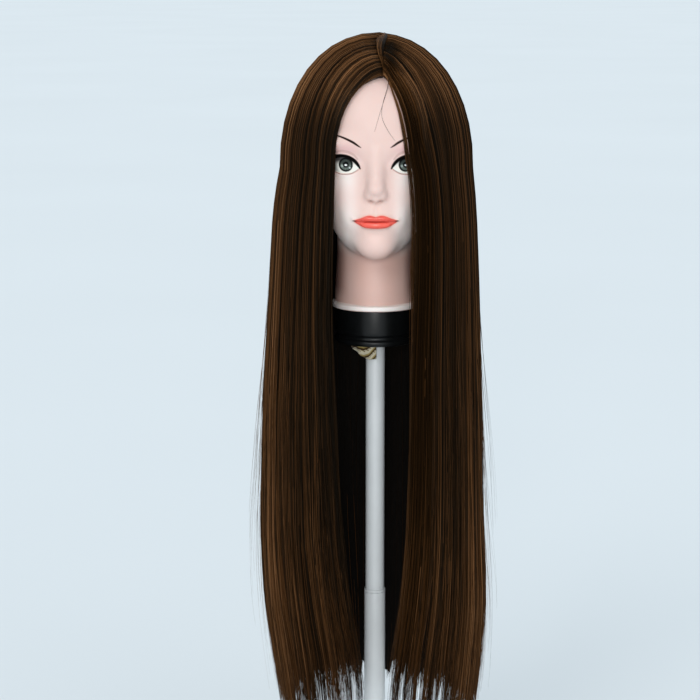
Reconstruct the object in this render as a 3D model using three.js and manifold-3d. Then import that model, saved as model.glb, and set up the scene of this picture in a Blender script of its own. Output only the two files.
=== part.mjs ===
// Mannequin training head on a telescoping stand: a hollow vinyl head with a long, straight,
// centre-parted wig, on a black base cup that is packed onto a two-piece pole with an inner twist
// lock, over a weighted round base.
// Millimetres, +Z up. The face looks along -Y. The origin is on the floor, on the pole's axis.

import * as THREE from 'three';
import { mergeVertices } from 'three/addons/utils/BufferGeometryUtils.js';
import Module from 'manifold-3d';

const wasm = await Module();
wasm.setup();

// ---- Driving dimensions -------------------------------------------------------------------

const GAP = 0.3; // clearance between pieces that touch
const COLUMNS = 32; // facets round the head, the cap and the hair
const ROUND = 20; // facets round a turned piece
const FINE_ROUND = 36; // facets round the base

const BASE = { radius: 128, skin: 1.5, rim: 2, shoulder: 13, round: 6, seat: 34, top: 24 };
const WEIGHT = { radius: 120, bottom: 3.8, top: 14, hub: 30, bore: 5.6, recess: 11, recessTop: 12.2 };
const FOOT = { radius: 9, height: 3.5, circle: 96, count: 4 };
const COLLAR = { radius: 20, height: 14 };
const BOLT = { radius: 5, across: 17, headHeight: 6, top: 46 };
const INSERT = { height: 38, boreHeight: 26 };

const LOWER_TUBE = { radius: 11.2, bore: 10.4, top: 234 };
const END_RING = { height: 3 };
const UPPER_TUBE = { radius: 10, bore: 9.1, bottom: 106, top: 585 };
const LOCK = { stud: 3.5, plug: 22, flange: 2, sleeve: 12, cone: 6, coneRadius: 9.4, slot: 1.6 };

const CUP = { radius: 42.2, lip: 42.8, groove: 39.6, bottom: 507.5, shoulder: 544.7, spigotTop: 560 };
const CUP_PLATE = { bottom: 511, thickness: 4, hole: 19.9, spigot: 37.4, bore: 35 };
const SOCKET = { bore: 15, radius: 19.5, bottom: 509, top: 596, flange: 34.4, roof: 4 };
const SCREW = { radius: 1.5, head: 3.2, headHeight: 2, length: 10, circle: 28, count: 4 };

const NECK = { bottom: 545, rimTop: 552, rimFade: 560, jaw: 600, buried: 650 }; // heights
const NECK_RADIUS = { rim: 46, slim: 43.5, top: 40 };
const NECK_SETBACK = { by: 6, from: 570, to: 615 }; // the neck's middle moves back under the skull
const HEAD_WALL = 4.5; // vinyl skin
const RAY_CENTRE = { y: 8, z: 735 }; // middle of the skull, from which its surface is found
const CAP = { offset: 0.5, thickness: 1.2, tilt: 35, rows: 7 };
const WEFT = { count: 5, firstRow: 3.2, rowStep: 0.85, rowHeight: 0.4, thickness: 1.4 };

const HAIR = { bottom: 107, dome: 735, top: 830, thickness: 16, squareness: 2.3, clear: 5 };
const WINDOW = { left: 40, right: 36, spring: 690, apex: 786 }; // the opening that shows the face
const PARTING = 7; // how far the parting lies to +X of the middle
const BACK_SPLIT = 45; // where the side hair ends and the back hair starts
const CLOTH = { inner: 10.4, outer: 13.9, fold: 18.6, bottom: 491, top: 560, from: 175, to: 300 };

// Height, then the hair's reach from the pole's axis to -X, +X, -Y and +Y.
const HAIR_OUTLINE = [
  [107, 98, 101, 66, 88],
  [150, 106, 109, 72, 94],
  [230, 118, 117, 80, 100],
  [310, 123, 116, 84, 104],
  [445, 119, 112, 88, 107],
  [570, 111, 108, 90, 110],
  [655, 106, 104, 91, 112],
  [735, 91, 95, 90, 112],
];

// ---- Materials ----------------------------------------------------------------------------

const material = (color, roughness, metalness = 0) =>
  new THREE.MeshStandardMaterial({ color, roughness, metalness });

const vinyl = () => material(0xecd3c8, 0.45);
const blackPlastic = () => material(0x141416, 0.25);
const greyPlastic = () => material(0x4a4c50, 0.5);
const polePaint = () => material(0xc6ccd0, 0.4);
const steel = () => material(0x9a9ca0, 0.35, 1);
const brass = () => material(0xb08a3c, 0.35, 1);
const castIron = () => material(0x33363a, 0.7, 0.6);
const rubber = () => material(0x1a1a1a, 0.9);
const lace = () => material(0x241a14, 0.9);
const hair = () => material(0x2a1a0e, 0.5);
const stripedCloth = () => material(0xc9b27a, 0.9);

// ---- Shape helpers ------------------------------------------------------------------------

const degrees = THREE.MathUtils.degToRad;
const { lerp, clamp, smoothstep } = THREE.MathUtils;

/** A closed turned solid. The [radius, height] profile runs anticlockwise and closes on itself. */
function turned(profile, segments = ROUND) {
  const points = [...profile, profile[0]].map(([r, z]) => new THREE.Vector2(r, z));
  return new THREE.LatheGeometry(points, segments).rotateX(Math.PI / 2);
}

/** A plain ring or tube between two radii and two heights; with an inner radius of 0, a disc. */
function ring(inner, outer, bottom, top, segments = ROUND) {
  if (inner > 0) return turned([[inner, bottom], [outer, bottom], [outer, top], [inner, top]], segments);
  return rod([[outer, bottom], [outer, top]], segments);
}

/** A turned solid with no bore: the profile's outer points run up, and the axis closes it. */
function rod(outer, segments = ROUND) {
  const points = [[0, outer[0][1]], ...outer, [0, outer.at(-1)[1]]];
  return new THREE.LatheGeometry(points.map(([r, z]) => new THREE.Vector2(r, z)), segments)
    .rotateX(Math.PI / 2);
}

/** Points of a quarter-round corner, from one angle to another in degrees. */
function corner(centreR, centreZ, radius, from, to, facets = 2) {
  return Array.from({ length: facets + 1 }, (_, i) => {
    const angle = degrees(lerp(from, to, i / facets));
    return [centreR + radius * Math.cos(angle), centreZ + radius * Math.sin(angle)];
  });
}

/** Turns a closed geometry into a solid for booleans. */
function solid(geometry) {
  const bare = geometry.clone();
  for (const name of ['normal', 'uv']) bare.deleteAttribute(name);
  const merged = mergeVertices(bare, 1e-4);
  const index = merged.index.array;
  const triangles = [];
  for (let i = 0; i < index.length; i += 3) {
    const [a, b, c] = [index[i], index[i + 1], index[i + 2]];
    if (a !== b && b !== c && c !== a) triangles.push(a, b, c);
  }
  const vertProperties = Float32Array.from(merged.attributes.position.array);
  return new wasm.Manifold(
    new wasm.Mesh({ numProp: 3, vertProperties, triVerts: Uint32Array.from(triangles) }));
}

/** Turns a solid back into a geometry. */
function geometryOf(body) {
  const { vertProperties, triVerts } = body.getMesh();
  const geometry = new THREE.BufferGeometry();
  geometry.setAttribute('position', new THREE.BufferAttribute(vertProperties, 3));
  geometry.setIndex(new THREE.BufferAttribute(triVerts, 1));
  geometry.computeVertexNormals();
  return geometry;
}

const cut = (geometry, ...tools) =>
  geometryOf(tools.reduce((body, tool) => body.subtract(solid(tool)), solid(geometry)));

const joined = (...pieces) => geometryOf(pieces.map(solid).reduce((a, b) => a.add(b)));

const box = (low, high) =>
  new THREE.BoxGeometry(high[0] - low[0], high[1] - low[1], high[2] - low[2])
    .translate((low[0] + high[0]) / 2, (low[1] + high[1]) / 2, (low[2] + high[2]) / 2);

/** Angles of count evenly spaced places round a circle, starting at half a step. */
const spread = (count) => Array.from({ length: count }, (_, i) => (i + 0.5) * 2 * Math.PI / count);

/** Moves a geometry to a place on a circle round the pole. */
const onCircle = (geometry, radius, angle) =>
  geometry.translate(radius * Math.cos(angle), radius * Math.sin(angle), 0);

/** Rings of [x, y, z] points, each anticlockwise from above, skinned into one closed surface that
 *  ends in single points or flat fans. Each four-sided facet is split from its upper left corner,
 *  so that two skins over the same rings nest whichever way they run. */
function skinned(rings) {
  const positions = rings.flat(2);
  const starts = rings.map((_, k) => rings.slice(0, k).reduce((n, r) => n + r.length, 0));
  const index = [];
  const at = (k, i) => starts[k] + (rings[k].length === 1 ? 0 : i % rings[k].length);
  const height = (k) => rings[k].reduce((sum, point) => sum + point[2], 0) / rings[k].length;
  for (let k = 0; k < rings.length - 1; k++) {
    const goesUp = height(k + 1) > height(k);
    for (let i = 0; i < Math.max(rings[k].length, rings[k + 1].length); i++) {
      const [a, b, c, d] = [at(k, i), at(k, i + 1), at(k + 1, i + 1), at(k + 1, i)];
      const halves = goesUp ? [[a, b, d], [b, c, d]] : [[a, b, c], [a, c, d]];
      index.push(...halves.filter(([p, q, r]) => p !== q && q !== r && r !== p).flat());
    }
  }
  const geometry = new THREE.BufferGeometry();
  geometry.setAttribute('position', new THREE.Float32BufferAttribute(positions, 3));
  geometry.setIndex(index);
  geometry.computeVertexNormals();
  return geometry;
}

// ---- The head's surface -------------------------------------------------------------------
// The head is a blend of egg-shaped lumps round a neck. Its surface is where headDistance is 0.

// Each lump: centre, half sizes, and the width over which it blends into those before it.
const LUMPS = [
  [[0, 12, 742], [72, 88, 80], 0], // skull
  [[0, -20, 735], [60, 67, 58], 25], // forehead
  [[0, -30, 690], [57, 54, 62], 25], // middle of the face
  [[0, -34, 650], [46, 50, 50], 22], // jaw
  [[-43, -42, 684], [20, 20, 20], 14], // cheekbones
  [[43, -42, 684], [20, 20, 20], 14],
  [[0, -68, 619], [18, 16, 16], 12], // chin
  [[0, -86, 645], [17, 6, 7], 6], // lips
  [[0, -84, 692], [5, 8, 18], 9], // bridge of the nose
  [[0, -93, 676], [8, 8.5, 7.5], 7], // tip of the nose
  [[-72, 8, 690], [5, 13, 27], 4], // ears
  [[72, 8, 690], [5, 13, 27], 4],
];
const NECK_BLEND = 8;
const EYE_HOLLOWS = [-30, 30].map((x) => [[x, -92, 700], [15, 12, 8], 8]);

function lumpDistance([x, y, z], [[cx, cy, cz], [rx, ry, rz]]) {
  const near = Math.hypot((x - cx) / rx, (y - cy) / ry, (z - cz) / rz);
  const slope = Math.hypot((x - cx) / rx ** 2, (y - cy) / ry ** 2, (z - cz) / rz ** 2);
  return slope === 0 ? -Math.min(rx, ry, rz) : near * (near - 1) / slope;
}

function blendedMin(a, b, width) {
  const overlap = Math.max(width - Math.abs(a - b), 0);
  return Math.min(a, b) - (width === 0 ? 0 : overlap ** 2 / (4 * width));
}

/** The neck's radius: slim under the jaw, wider downwards, with a flared rim at the bottom. */
function neckRadius(z) {
  const { rim, slim, top } = NECK_RADIUS;
  const body = lerp(slim, top, clamp((z - NECK.rimFade) / (NECK.jaw - NECK.rimFade), 0, 1));
  return lerp(rim, body, smoothstep(z, NECK.rimTop, NECK.rimFade));
}

function headDistance(point) {
  const [x, y, z] = point;
  let distance = LUMPS.reduce((d, lump) => blendedMin(d, lumpDistance(point, lump), lump[2]), Infinity);
  const centre = NECK_SETBACK.by * smoothstep(z, NECK_SETBACK.from, NECK_SETBACK.to);
  const neck = Math.max(Math.hypot(x, y - centre) - neckRadius(z), z - NECK.buried);
  distance = blendedMin(distance, neck, NECK_BLEND);
  for (const hollow of EYE_HOLLOWS) {
    distance = -blendedMin(-distance, lumpDistance(point, hollow), hollow[2]);
  }
  return distance;
}

/** Where the ray from height z on the head's middle line, at an azimuth and elevation in radians,
 *  leaves the surface at an offset from the head. Azimuth 0 is the face's side. */
function onHead(z, azimuth, elevation, offset = 0) {
  const level = Math.cos(elevation);
  const way = [Math.sin(azimuth) * level, -Math.cos(azimuth) * level, Math.sin(elevation)];
  const at = (t) => [way[0] * t, RAY_CENTRE.y + way[1] * t, z + way[2] * t];
  let t = MARCH.start;
  for (let step = 0; step < MARCH.steps; step++) t -= MARCH.share * (headDistance(at(t)) - offset);
  return at(t);
}

const MARCH = { start: 170, steps: 90, share: 0.6 }; // how a ray closes in on the surface
const AZIMUTHS = Array.from({ length: COLUMNS }, (_, i) => i * 2 * Math.PI / COLUMNS);

/** A ring round the head. The tilt, in degrees, lifts its front and drops its back. */
const headRing = (z, elevation, tilt, offset) =>
  AZIMUTHS.map((a) => onHead(z, a, degrees(elevation + tilt * Math.cos(a)), offset));

/** The ring of the cap's row k: 0 is the crown, and CAP.rows is the cap's edge. */
function capRing(k, offset) {
  const part = k / CAP.rows;
  if (k === 0) return [onHead(RAY_CENTRE.z, 0, Math.PI / 2, offset)];
  return headRing(RAY_CENTRE.z, 90 * (1 - part), CAP.tilt * part, offset);
}

const FACE_BOTTOM = 640;
const FACE_ROWS = 10;

/** Rings from just under the cap's edge down to the jaw. */
function faceRing(row, rows, offset) {
  const part = row / rows;
  return headRing(lerp(RAY_CENTRE.z, FACE_BOTTOM, part), 0, CAP.tilt * (1 - part), offset);
}

const NECK_ROWS = [630, 619, 609, 603, 597, 586, 560, 556, NECK.rimTop, NECK.bottom];
const INNER_NECK_ROWS = [602, 560, NECK.rimTop, NECK.bottom];

const steps = (first, last) => Array.from({ length: last - first + 1 }, (_, i) => first + i);

/** A flat end for the head's lower edge: its wall there is exactly level. */
const levelled = (points, z) => points.map(([x, y]) => [x, y, z]);

function headShell() {
  const outside = [
    ...steps(0, CAP.rows).map((k) => capRing(k, 0)),
    ...steps(1, FACE_ROWS).map((row) => faceRing(row, FACE_ROWS, 0)),
    ...NECK_ROWS.map((z) => levelled(headRing(z, 0, 0, 0), z)),
  ];
  const inside = [
    ...[0, 3, 5, 7].map((k) => capRing(k, -HEAD_WALL)),
    ...steps(1, 3).map((row) => faceRing(row, 3, -HEAD_WALL)),
    ...INNER_NECK_ROWS.map((z) => levelled(headRing(z, 0, 0, -HEAD_WALL), z)),
  ];
  return skinned([...inside, ...outside.reverse()]);
}

/** A shell on the head between two offsets, over the given rings and columns. */
function patch(rows, columns, near, far) {
  const strip = (offset) => rows.map((k) => {
    const points = capRing(k, offset);
    return columns.map((i) => points[(i + COLUMNS) % COLUMNS]);
  });
  const [inside, outside] = [strip(near), strip(far)];
  const last = columns.length - 1;
  // Each ring of the skin runs round one column's four corners, from the first column to the last.
  const loops = columns.map((_, i) => [
    ...inside.map((row) => row[i]),
    ...outside.map((row) => row[i]).reverse(),
  ]);
  const middle = (loop) => [[0, 1, 2].map((axis) => loop.reduce((s, p) => s + p[axis], 0) / loop.length)];
  return skinned([middle(loops[0]), ...loops, middle(loops[last])]);
}

function wigCap() {
  const rows = steps(1, CAP.rows);
  const inside = [capRing(0, CAP.offset), ...rows.map((k) => capRing(k, CAP.offset))];
  const outer = CAP.offset + CAP.thickness;
  const outside = [capRing(0, outer), ...rows.map((k) => capRing(k, outer))];
  return skinned([...inside, ...outside.reverse()]);
}

/** Sewn bands across the cap's back, from ear to ear. */
function weft(number) {
  const row = WEFT.firstRow + number * WEFT.rowStep;
  const columns = steps(COLUMNS / 4 + 1, 3 * COLUMNS / 4 - 1).reverse();
  const near = CAP.offset + CAP.thickness + GAP;
  return patch([row, row + WEFT.rowHeight], columns, near, near + WEFT.thickness);
}

// ---- Hair ---------------------------------------------------------------------------------

/** The hair's reach to -X, +X, -Y and +Y at a height, by the outline. */
function hairReach(z) {
  const above = Math.max(HAIR_OUTLINE.findIndex((row) => row[0] >= z), 1);
  const [low, high] = [HAIR_OUTLINE[above - 1], HAIR_OUTLINE[above]];
  const part = (z - low[0]) / (high[0] - low[0]);
  return low.slice(1).map((value, i) => lerp(value, high[i + 1], part));
}

/** A rounded-square ring of the hair's outline at a height, shrunk by a share or an inset. */
function hairRing(z, reach, share = 1, inset = 0) {
  const [left, right, front, back] = reach;
  const middle = (back - front) / 2;
  const power = 2 / HAIR.squareness;
  return AZIMUTHS.map((azimuth) => {
    const [s, c] = [Math.sin(azimuth), -Math.cos(azimuth)];
    const x = Math.sign(s) * Math.abs(s) ** power * ((s < 0 ? left : right) - inset);
    const y = Math.sign(c) * Math.abs(c) ** power * ((c < 0 ? front : back) - inset);
    return [x * share, middle + (y - middle) * share, z];
  });
}

function hairHull() {
  const dome = [90, 76, 60, 45, 30, 15].map((angle) => {
    const z = HAIR.dome + (HAIR.top - HAIR.dome) * Math.sin(degrees(angle));
    const reach = hairReach(HAIR.dome);
    if (angle === 90) return [[0, (reach[3] - reach[2]) / 2, z]];
    return hairRing(z, reach, Math.cos(degrees(angle)));
  });
  const fall = HAIR_OUTLINE.toReversed().map(([z, ...reach]) => hairRing(z, reach));
  return skinned([[[0, 0, HAIR.bottom]], ...fall.toReversed(), ...dome.toReversed()]);
}

/** The room inside the hair: round the head with a clearance, then a wide hollow down to the tips. */
function hairHollow() {
  const overHead = [
    ...steps(0, CAP.rows).map((k) => capRing(k, HAIR.clear)),
    ...steps(1, 7).map((row) => faceRing(row, 7, HAIR.clear)),
  ];
  const below = HAIR_OUTLINE.filter(([z]) => z < FACE_BOTTOM - 40 && z > HAIR.bottom);
  const open = [...below.toReversed().map(([z]) => z), HAIR.bottom - 10]
    .map((z) => hairRing(z, hairReach(Math.max(z, HAIR.bottom)), 1, HAIR.thickness));
  return skinned([[[0, 0, HAIR.bottom - 10]], ...open.toReversed(), ...overHead.toReversed()]);
}

/** An arched prism through the front, which bares the face, the cup and the pole. */
function faceWindow() {
  const { left, right, spring, apex } = WINDOW;
  const facets = 16;
  const arch = steps(0, facets).map((i) => {
    const angle = Math.PI * i / facets;
    const half = Math.cos(angle) > 0 ? right - PARTING : left + PARTING;
    return new THREE.Vector2(PARTING + half * Math.cos(angle), spring + (apex - spring) * Math.sin(angle));
  });
  const bottom = HAIR.bottom - 20;
  const outline = [new THREE.Vector2(right, bottom), ...arch, new THREE.Vector2(-left, bottom)];
  const depth = 200;
  const prism = new THREE.ExtrudeGeometry(new THREE.Shape(outline), { depth, bevelEnabled: false });
  return prism.rotateX(Math.PI / 2);
}

/** The three curtains of hair: left and right of the parting, and the back. */
function hairPieces() {
  const whole = solid(hairHull()).subtract(solid(hairHollow())).subtract(solid(faceWindow()));
  const far = 400;
  const floor = 0;
  const ceiling = 1000;
  const front = BACK_SPLIT - GAP;
  const regions = {
    hair_left: box([-far, -far, floor], [PARTING - GAP, front, ceiling]),
    hair_right: box([PARTING + GAP, -far, floor], [far, front, ceiling]),
    hair_back: box([-far, BACK_SPLIT + GAP, floor], [far, far, ceiling]),
  };
  return Object.fromEntries(Object.entries(regions).map(
    ([name, region]) => [name, geometryOf(whole.intersect(solid(region)))]));
}

// ---- Base cup, socket and packing ---------------------------------------------------------

const holesOnCircle = (radius, bottom, top) =>
  spread(SCREW.count).map((angle) => onCircle(ring(0, radius, bottom, top, 12), SCREW.circle, angle));

function baseCup() {
  const { radius, lip, groove, bottom, shoulder, spigotTop } = CUP;
  const { bottom: plate, thickness, hole, spigot, bore } = CUP_PLATE;
  const profile = [
    [hole, plate], [bore - 1, plate], [bore + 1, bottom], [lip - 2, bottom],
    ...corner(lip - 3, bottom + 3, 3, -60, 60),
    [groove, bottom + 7], [groove, bottom + 10],
    ...corner(radius - 1.5, bottom + 12.5, 1.5, -60, 0, 1),
    ...corner(radius - 1.2, shoulder - 1.2, 1.2, 0, 90, 1),
    [spigot, shoulder], [spigot, spigotTop], [bore, spigotTop],
    [bore, plate + thickness], [hole, plate + thickness],
  ];
  return cut(turned(profile, FINE_ROUND), ...holesOnCircle(SCREW.radius + GAP, plate - 5, plate + 9));
}

function neckSocket() {
  const { bore, radius, bottom, top, flange, roof } = SOCKET;
  const seat = CUP_PLATE.bottom + CUP_PLATE.thickness + GAP;
  const outer = [[radius, bottom], [radius, seat], [flange, seat], [flange, seat + 4],
    [radius, seat + 4], [radius - 1, top], [0, top]];
  const profile = [[0, top - roof], [bore - 1, top - roof], [bore, bottom], ...outer];
  const points = profile.map(([r, z]) => new THREE.Vector2(r, z));
  const body = new THREE.LatheGeometry(points, ROUND).rotateX(Math.PI / 2);
  return cut(body, ...holesOnCircle(SCREW.radius + GAP, seat - 5, seat + 9));
}

/** A pan-head screw, driven up through the cup's floor into the socket's flange. */
function cupScrew(angle) {
  const face = CUP_PLATE.bottom - GAP;
  const { radius, head, headHeight, length, circle } = SCREW;
  const profile = [[head - 1, face - headHeight], [head, face - headHeight + 0.8], [head, face],
    [radius, face], [radius, face + length - 1.5], [0.3, face + length]];
  return onCircle(rod(profile, 12), circle, angle);
}

/** A bent strip of cloth, wedged between the pole and the socket, with its fold hanging out below. */
function packingCloth() {
  const { inner, outer, fold, bottom, top, from, to } = CLOTH;
  const sector = (far, low, high, start, end) => {
    const shape = new THREE.Shape();
    shape.absarc(0, 0, far, degrees(start), degrees(end), false);
    shape.absarc(0, 0, inner, degrees(end), degrees(start), true);
    return new THREE.ExtrudeGeometry(shape, { depth: high - low, bevelEnabled: false, curveSegments: 10 })
      .translate(0, 0, low);
  };
  return joined(
    sector(outer, bottom + 6, top, from, to),
    sector(fold, bottom, SOCKET.bottom - 1, from + 20, to - 25));
}

// ---- Pole and its twist lock --------------------------------------------------------------

function poleTopPlug() {
  const inside = UPPER_TUBE.bore - GAP;
  const seat = UPPER_TUBE.top + GAP;
  return rod([[inside - 1, seat - 16], [inside, seat - 15], [inside, seat],
    [UPPER_TUBE.radius, seat], [UPPER_TUBE.radius, seat + 1], [UPPER_TUBE.radius - 1.5, seat + 2]]);
}

const LOCK_SEAT = UPPER_TUBE.bottom - GAP; // top of the stud's flange
const SLEEVE_TOP = LOCK_SEAT - LOCK.flange - GAP;
const CONE_TOP = SLEEVE_TOP - LOCK.sleeve - GAP;

function lockStud() {
  const inside = UPPER_TUBE.bore - GAP;
  return rod([[LOCK.stud, CONE_TOP - LOCK.cone - 1], [LOCK.stud, LOCK_SEAT - LOCK.flange],
    [UPPER_TUBE.radius, LOCK_SEAT - LOCK.flange], [UPPER_TUBE.radius, LOCK_SEAT],
    [inside, LOCK_SEAT], [inside, LOCK_SEAT + LOCK.plug]]);
}

/** The gripping sleeve, slit along one side so that it can spread. */
function lockSleeve() {
  const outer = LOWER_TUBE.bore - GAP;
  const inner = LOCK.stud + GAP;
  const bottom = SLEEVE_TOP - LOCK.sleeve;
  const body = turned([[inner + 3, bottom], [outer, bottom], [outer, SLEEVE_TOP],
    [inner, SLEEVE_TOP], [inner, bottom + 5]]);
  return cut(body, box([0, -LOCK.slot / 2, bottom - 1], [outer + 2, LOCK.slot / 2, SLEEVE_TOP + 1]));
}

function lockCone() {
  const inner = LOCK.stud + GAP;
  const outer = LOCK.coneRadius;
  const bottom = CONE_TOP - LOCK.cone;
  return turned([[inner, bottom], [outer, bottom], [outer, bottom + 3], [inner + 2.5, CONE_TOP],
    [inner, CONE_TOP]]);
}

const TUBE_FOOT = BASE.top + GAP;

function poleInsert() {
  const outer = LOWER_TUBE.bore - GAP;
  const bore = BOLT.radius + GAP;
  const top = TUBE_FOOT + INSERT.height;
  const profile = [[0, TUBE_FOOT + INSERT.boreHeight], [bore, TUBE_FOOT + INSERT.boreHeight - 3],
    [bore, TUBE_FOOT], [outer, TUBE_FOOT], [outer, top - 1], [outer - 1, top], [0, top]];
  return new THREE.LatheGeometry(profile.map(([r, z]) => new THREE.Vector2(r, z)), ROUND)
    .rotateX(Math.PI / 2);
}

// ---- Base ---------------------------------------------------------------------------------

function baseCover() {
  const { radius, skin, rim, shoulder, round, seat, top } = BASE;
  const bore = WEIGHT.bore;
  const profile = [
    [radius - skin, rim], [radius, rim],
    ...corner(radius - round, shoulder, round, 0, 80, 3),
    [seat, top], [bore, top], [bore, top - skin], [seat, top - skin],
    ...corner(radius - round, shoulder, round - skin, 80, 0, 3),
  ];
  return turned(profile, FINE_ROUND);
}

function baseWeight() {
  const { radius, bottom, top, hub, bore, recess, recessTop } = WEIGHT;
  const hubTop = BASE.top - BASE.skin - GAP;
  const profile = [[recess, bottom], [radius, bottom], [radius, top - 1], [radius - 2, top],
    [hub + 6, top], [hub, hubTop], [bore, hubTop], [bore, recessTop], [recess, recessTop]];
  return turned(profile, FINE_ROUND);
}

function baseWasher() {
  return ring(BOLT.radius + GAP, WEIGHT.recess - 1, WEIGHT.recessTop - GAP - 1.6, WEIGHT.recessTop - GAP);
}

function baseBolt() {
  const seat = WEIGHT.recessTop - 2 * GAP - 1.6;
  const hexRadius = BOLT.across / Math.sqrt(3);
  const head = ring(0, hexRadius, seat - BOLT.headHeight, seat, 6);
  const { radius, top } = BOLT;
  const shank = rod([[radius, seat - 1], [radius, top - 1.5], [radius - 1.5, top]], 20);
  return joined(head, shank);
}

function baseCollar() {
  const inner = LOWER_TUBE.radius + GAP;
  const bottom = BASE.top + GAP;
  const { radius, height } = COLLAR;
  return turned([[inner, bottom], [radius, bottom], [radius, bottom + 2],
    ...corner(radius + 4, bottom + height - 2, 8, 225, 180, 3), [inner, bottom + height]]);
}

function foot(angle) {
  const { radius, height, circle } = FOOT;
  return onCircle(rod([[radius - 1, 0], [radius, 1], [radius, height]], 20), circle, angle);
}

// ---- Assembly -----------------------------------------------------------------------------

const trainingHead = new THREE.Group();
trainingHead.name = 'mannequin_training_head';

function add(name, geometry, finish) {
  const mesh = new THREE.Mesh(geometry, finish());
  mesh.name = name;
  trainingHead.add(mesh);
}

add('base_cover', baseCover(), polePaint);
add('base_weight', baseWeight(), castIron);
add('base_washer', baseWasher(), steel);
add('base_bolt', baseBolt(), steel);
add('base_collar', baseCollar(), greyPlastic);
spread(FOOT.count).forEach((angle, i) => add(`foot_${i + 1}`, foot(angle), rubber));

const tubeTop = LOWER_TUBE.top;
add('lower_tube', ring(LOWER_TUBE.bore, LOWER_TUBE.radius, TUBE_FOOT, tubeTop), polePaint);
add('pole_insert', poleInsert(), steel);
add('pole_end_ring', ring(LOWER_TUBE.bore, LOWER_TUBE.radius, tubeTop + GAP, tubeTop + GAP + END_RING.height),
  greyPlastic);
add('upper_tube', ring(UPPER_TUBE.bore, UPPER_TUBE.radius, UPPER_TUBE.bottom, UPPER_TUBE.top), polePaint);
add('pole_top_plug', poleTopPlug(), greyPlastic);
add('lock_stud', lockStud(), brass);
add('lock_sleeve', lockSleeve(), greyPlastic);
add('lock_cone', lockCone(), brass);

add('base_cup', baseCup(), blackPlastic);
add('neck_socket', neckSocket(), greyPlastic);
spread(SCREW.count).forEach((angle, i) => add(`cup_screw_${i + 1}`, cupScrew(angle), steel));
add('packing_cloth', packingCloth(), stripedCloth);

add('head_shell', headShell(), vinyl);
add('wig_cap', wigCap(), lace);
for (let i = 0; i < WEFT.count; i++) add(`weft_${i + 1}`, weft(i), lace);
for (const [name, geometry] of Object.entries(hairPieces())) add(name, geometry, hair);

export default trainingHead;
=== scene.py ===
"""The looks of a mannequin training head: a painted vinyl head with a long straight wig, on a black base
cup packed onto a twist-lock pole. Shapes are worked out in millimetres, in the row frame, and become
metres when a mesh is made. The face looks along -Y, and +Z is up."""

import math

import bpy
import numpy as np
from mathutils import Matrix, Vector


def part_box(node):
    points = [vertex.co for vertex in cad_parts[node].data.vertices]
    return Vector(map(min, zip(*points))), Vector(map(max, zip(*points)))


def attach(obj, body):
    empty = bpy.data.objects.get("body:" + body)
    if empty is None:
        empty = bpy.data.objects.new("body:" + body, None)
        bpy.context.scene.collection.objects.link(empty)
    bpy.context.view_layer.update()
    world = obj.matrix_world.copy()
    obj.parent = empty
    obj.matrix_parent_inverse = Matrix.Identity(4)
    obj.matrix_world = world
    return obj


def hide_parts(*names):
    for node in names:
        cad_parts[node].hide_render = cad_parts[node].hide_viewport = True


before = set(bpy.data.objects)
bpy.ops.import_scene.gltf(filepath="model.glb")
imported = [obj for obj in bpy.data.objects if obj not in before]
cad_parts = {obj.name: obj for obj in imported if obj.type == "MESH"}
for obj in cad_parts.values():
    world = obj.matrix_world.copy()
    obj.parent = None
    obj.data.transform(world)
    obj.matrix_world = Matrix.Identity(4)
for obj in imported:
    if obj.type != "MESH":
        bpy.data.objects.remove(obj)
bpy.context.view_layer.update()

MM = 0.001
DRAW = np.random.default_rng(28)

# ---- Sizes, in millimetres ----------------------------------------------------------------

NODE_BOX = {name: [np.array(corner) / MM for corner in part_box(name)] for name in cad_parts}
HAIR_TOP = NODE_BOX["hair_left"][1][2]
HAIR_BOTTOM = NODE_BOX["hair_left"][0][2]
HAIR_SPLIT = NODE_BOX["hair_left"][1][1]  # where the side hair ends and the back hair starts
SKULL_MIDDLE = (8.0, 735.0)  # y and z of the point from which the head's surface is found
PARTING = (NODE_BOX["hair_left"][1][0] + NODE_BOX["hair_right"][0][0]) / 2  # to +X of the middle
HAIRLINE = -74.0  # y of the parting's front end
SQUARENESS = 2.3  # 2 would make the hair's outline an ellipse

# Height, then the hair's reach from the pole's axis to -X, +X, -Y and +Y.
HAIR_OUTLINE = np.array([
    [107, 101, 110, 66, 88],
    [150, 108, 116, 72, 94],
    [230, 119, 120, 80, 100],
    [310, 123, 116, 84, 104],
    [445, 119, 112, 88, 107],
    [570, 111, 108, 90, 110],
    [655, 106, 104, 91, 112],
    [735, 90, 95, 90, 112],
], float)

# Height, then how far from the middle the two front curtains' inner edges hang, to -X and to +X.
WINDOW = np.array([
    [107, 12, 13],
    [170, 14, 18],
    [230, 25, 27],
    [300, 34, 34],
    [400, 39, 37],
    [500, 42.5, 38],
    [555, 44.5, 40],
    [640, 43, 42],
    [690, 41, 38],
    [715, 40, 35],
], float)


# ---- Small numeric helpers ----------------------------------------------------------------

def smooth(value, low, high):
    """0 below low, 1 above high, with a soft step between; low may be the larger."""
    t = np.clip((value - low) / (high - low), 0, 1)
    return t * t * (3 - 2 * t)


def mix(a, b, share):
    return a + (b - a) * share


def unit(vectors):
    """Vectors brought to length 1, along the last axis."""
    return vectors / np.maximum(np.linalg.norm(vectors, axis=-1), 1e-9)[..., None]


def waves(count, along, scale, terms=4):
    """Smooth random curves, one per row: sums of sines of the positions in along."""
    total = np.zeros((count, len(along)))
    for term in range(terms):
        pace = scale * (term + 1) * DRAW.uniform(0.7, 1.3, (count, 1))
        phase = DRAW.uniform(0, 2 * math.pi, (count, 1))
        total += np.sin(along[None, :] * pace + phase) / (term + 1)
    return total / 1.5


# ---- Meshes -------------------------------------------------------------------------------

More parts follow.
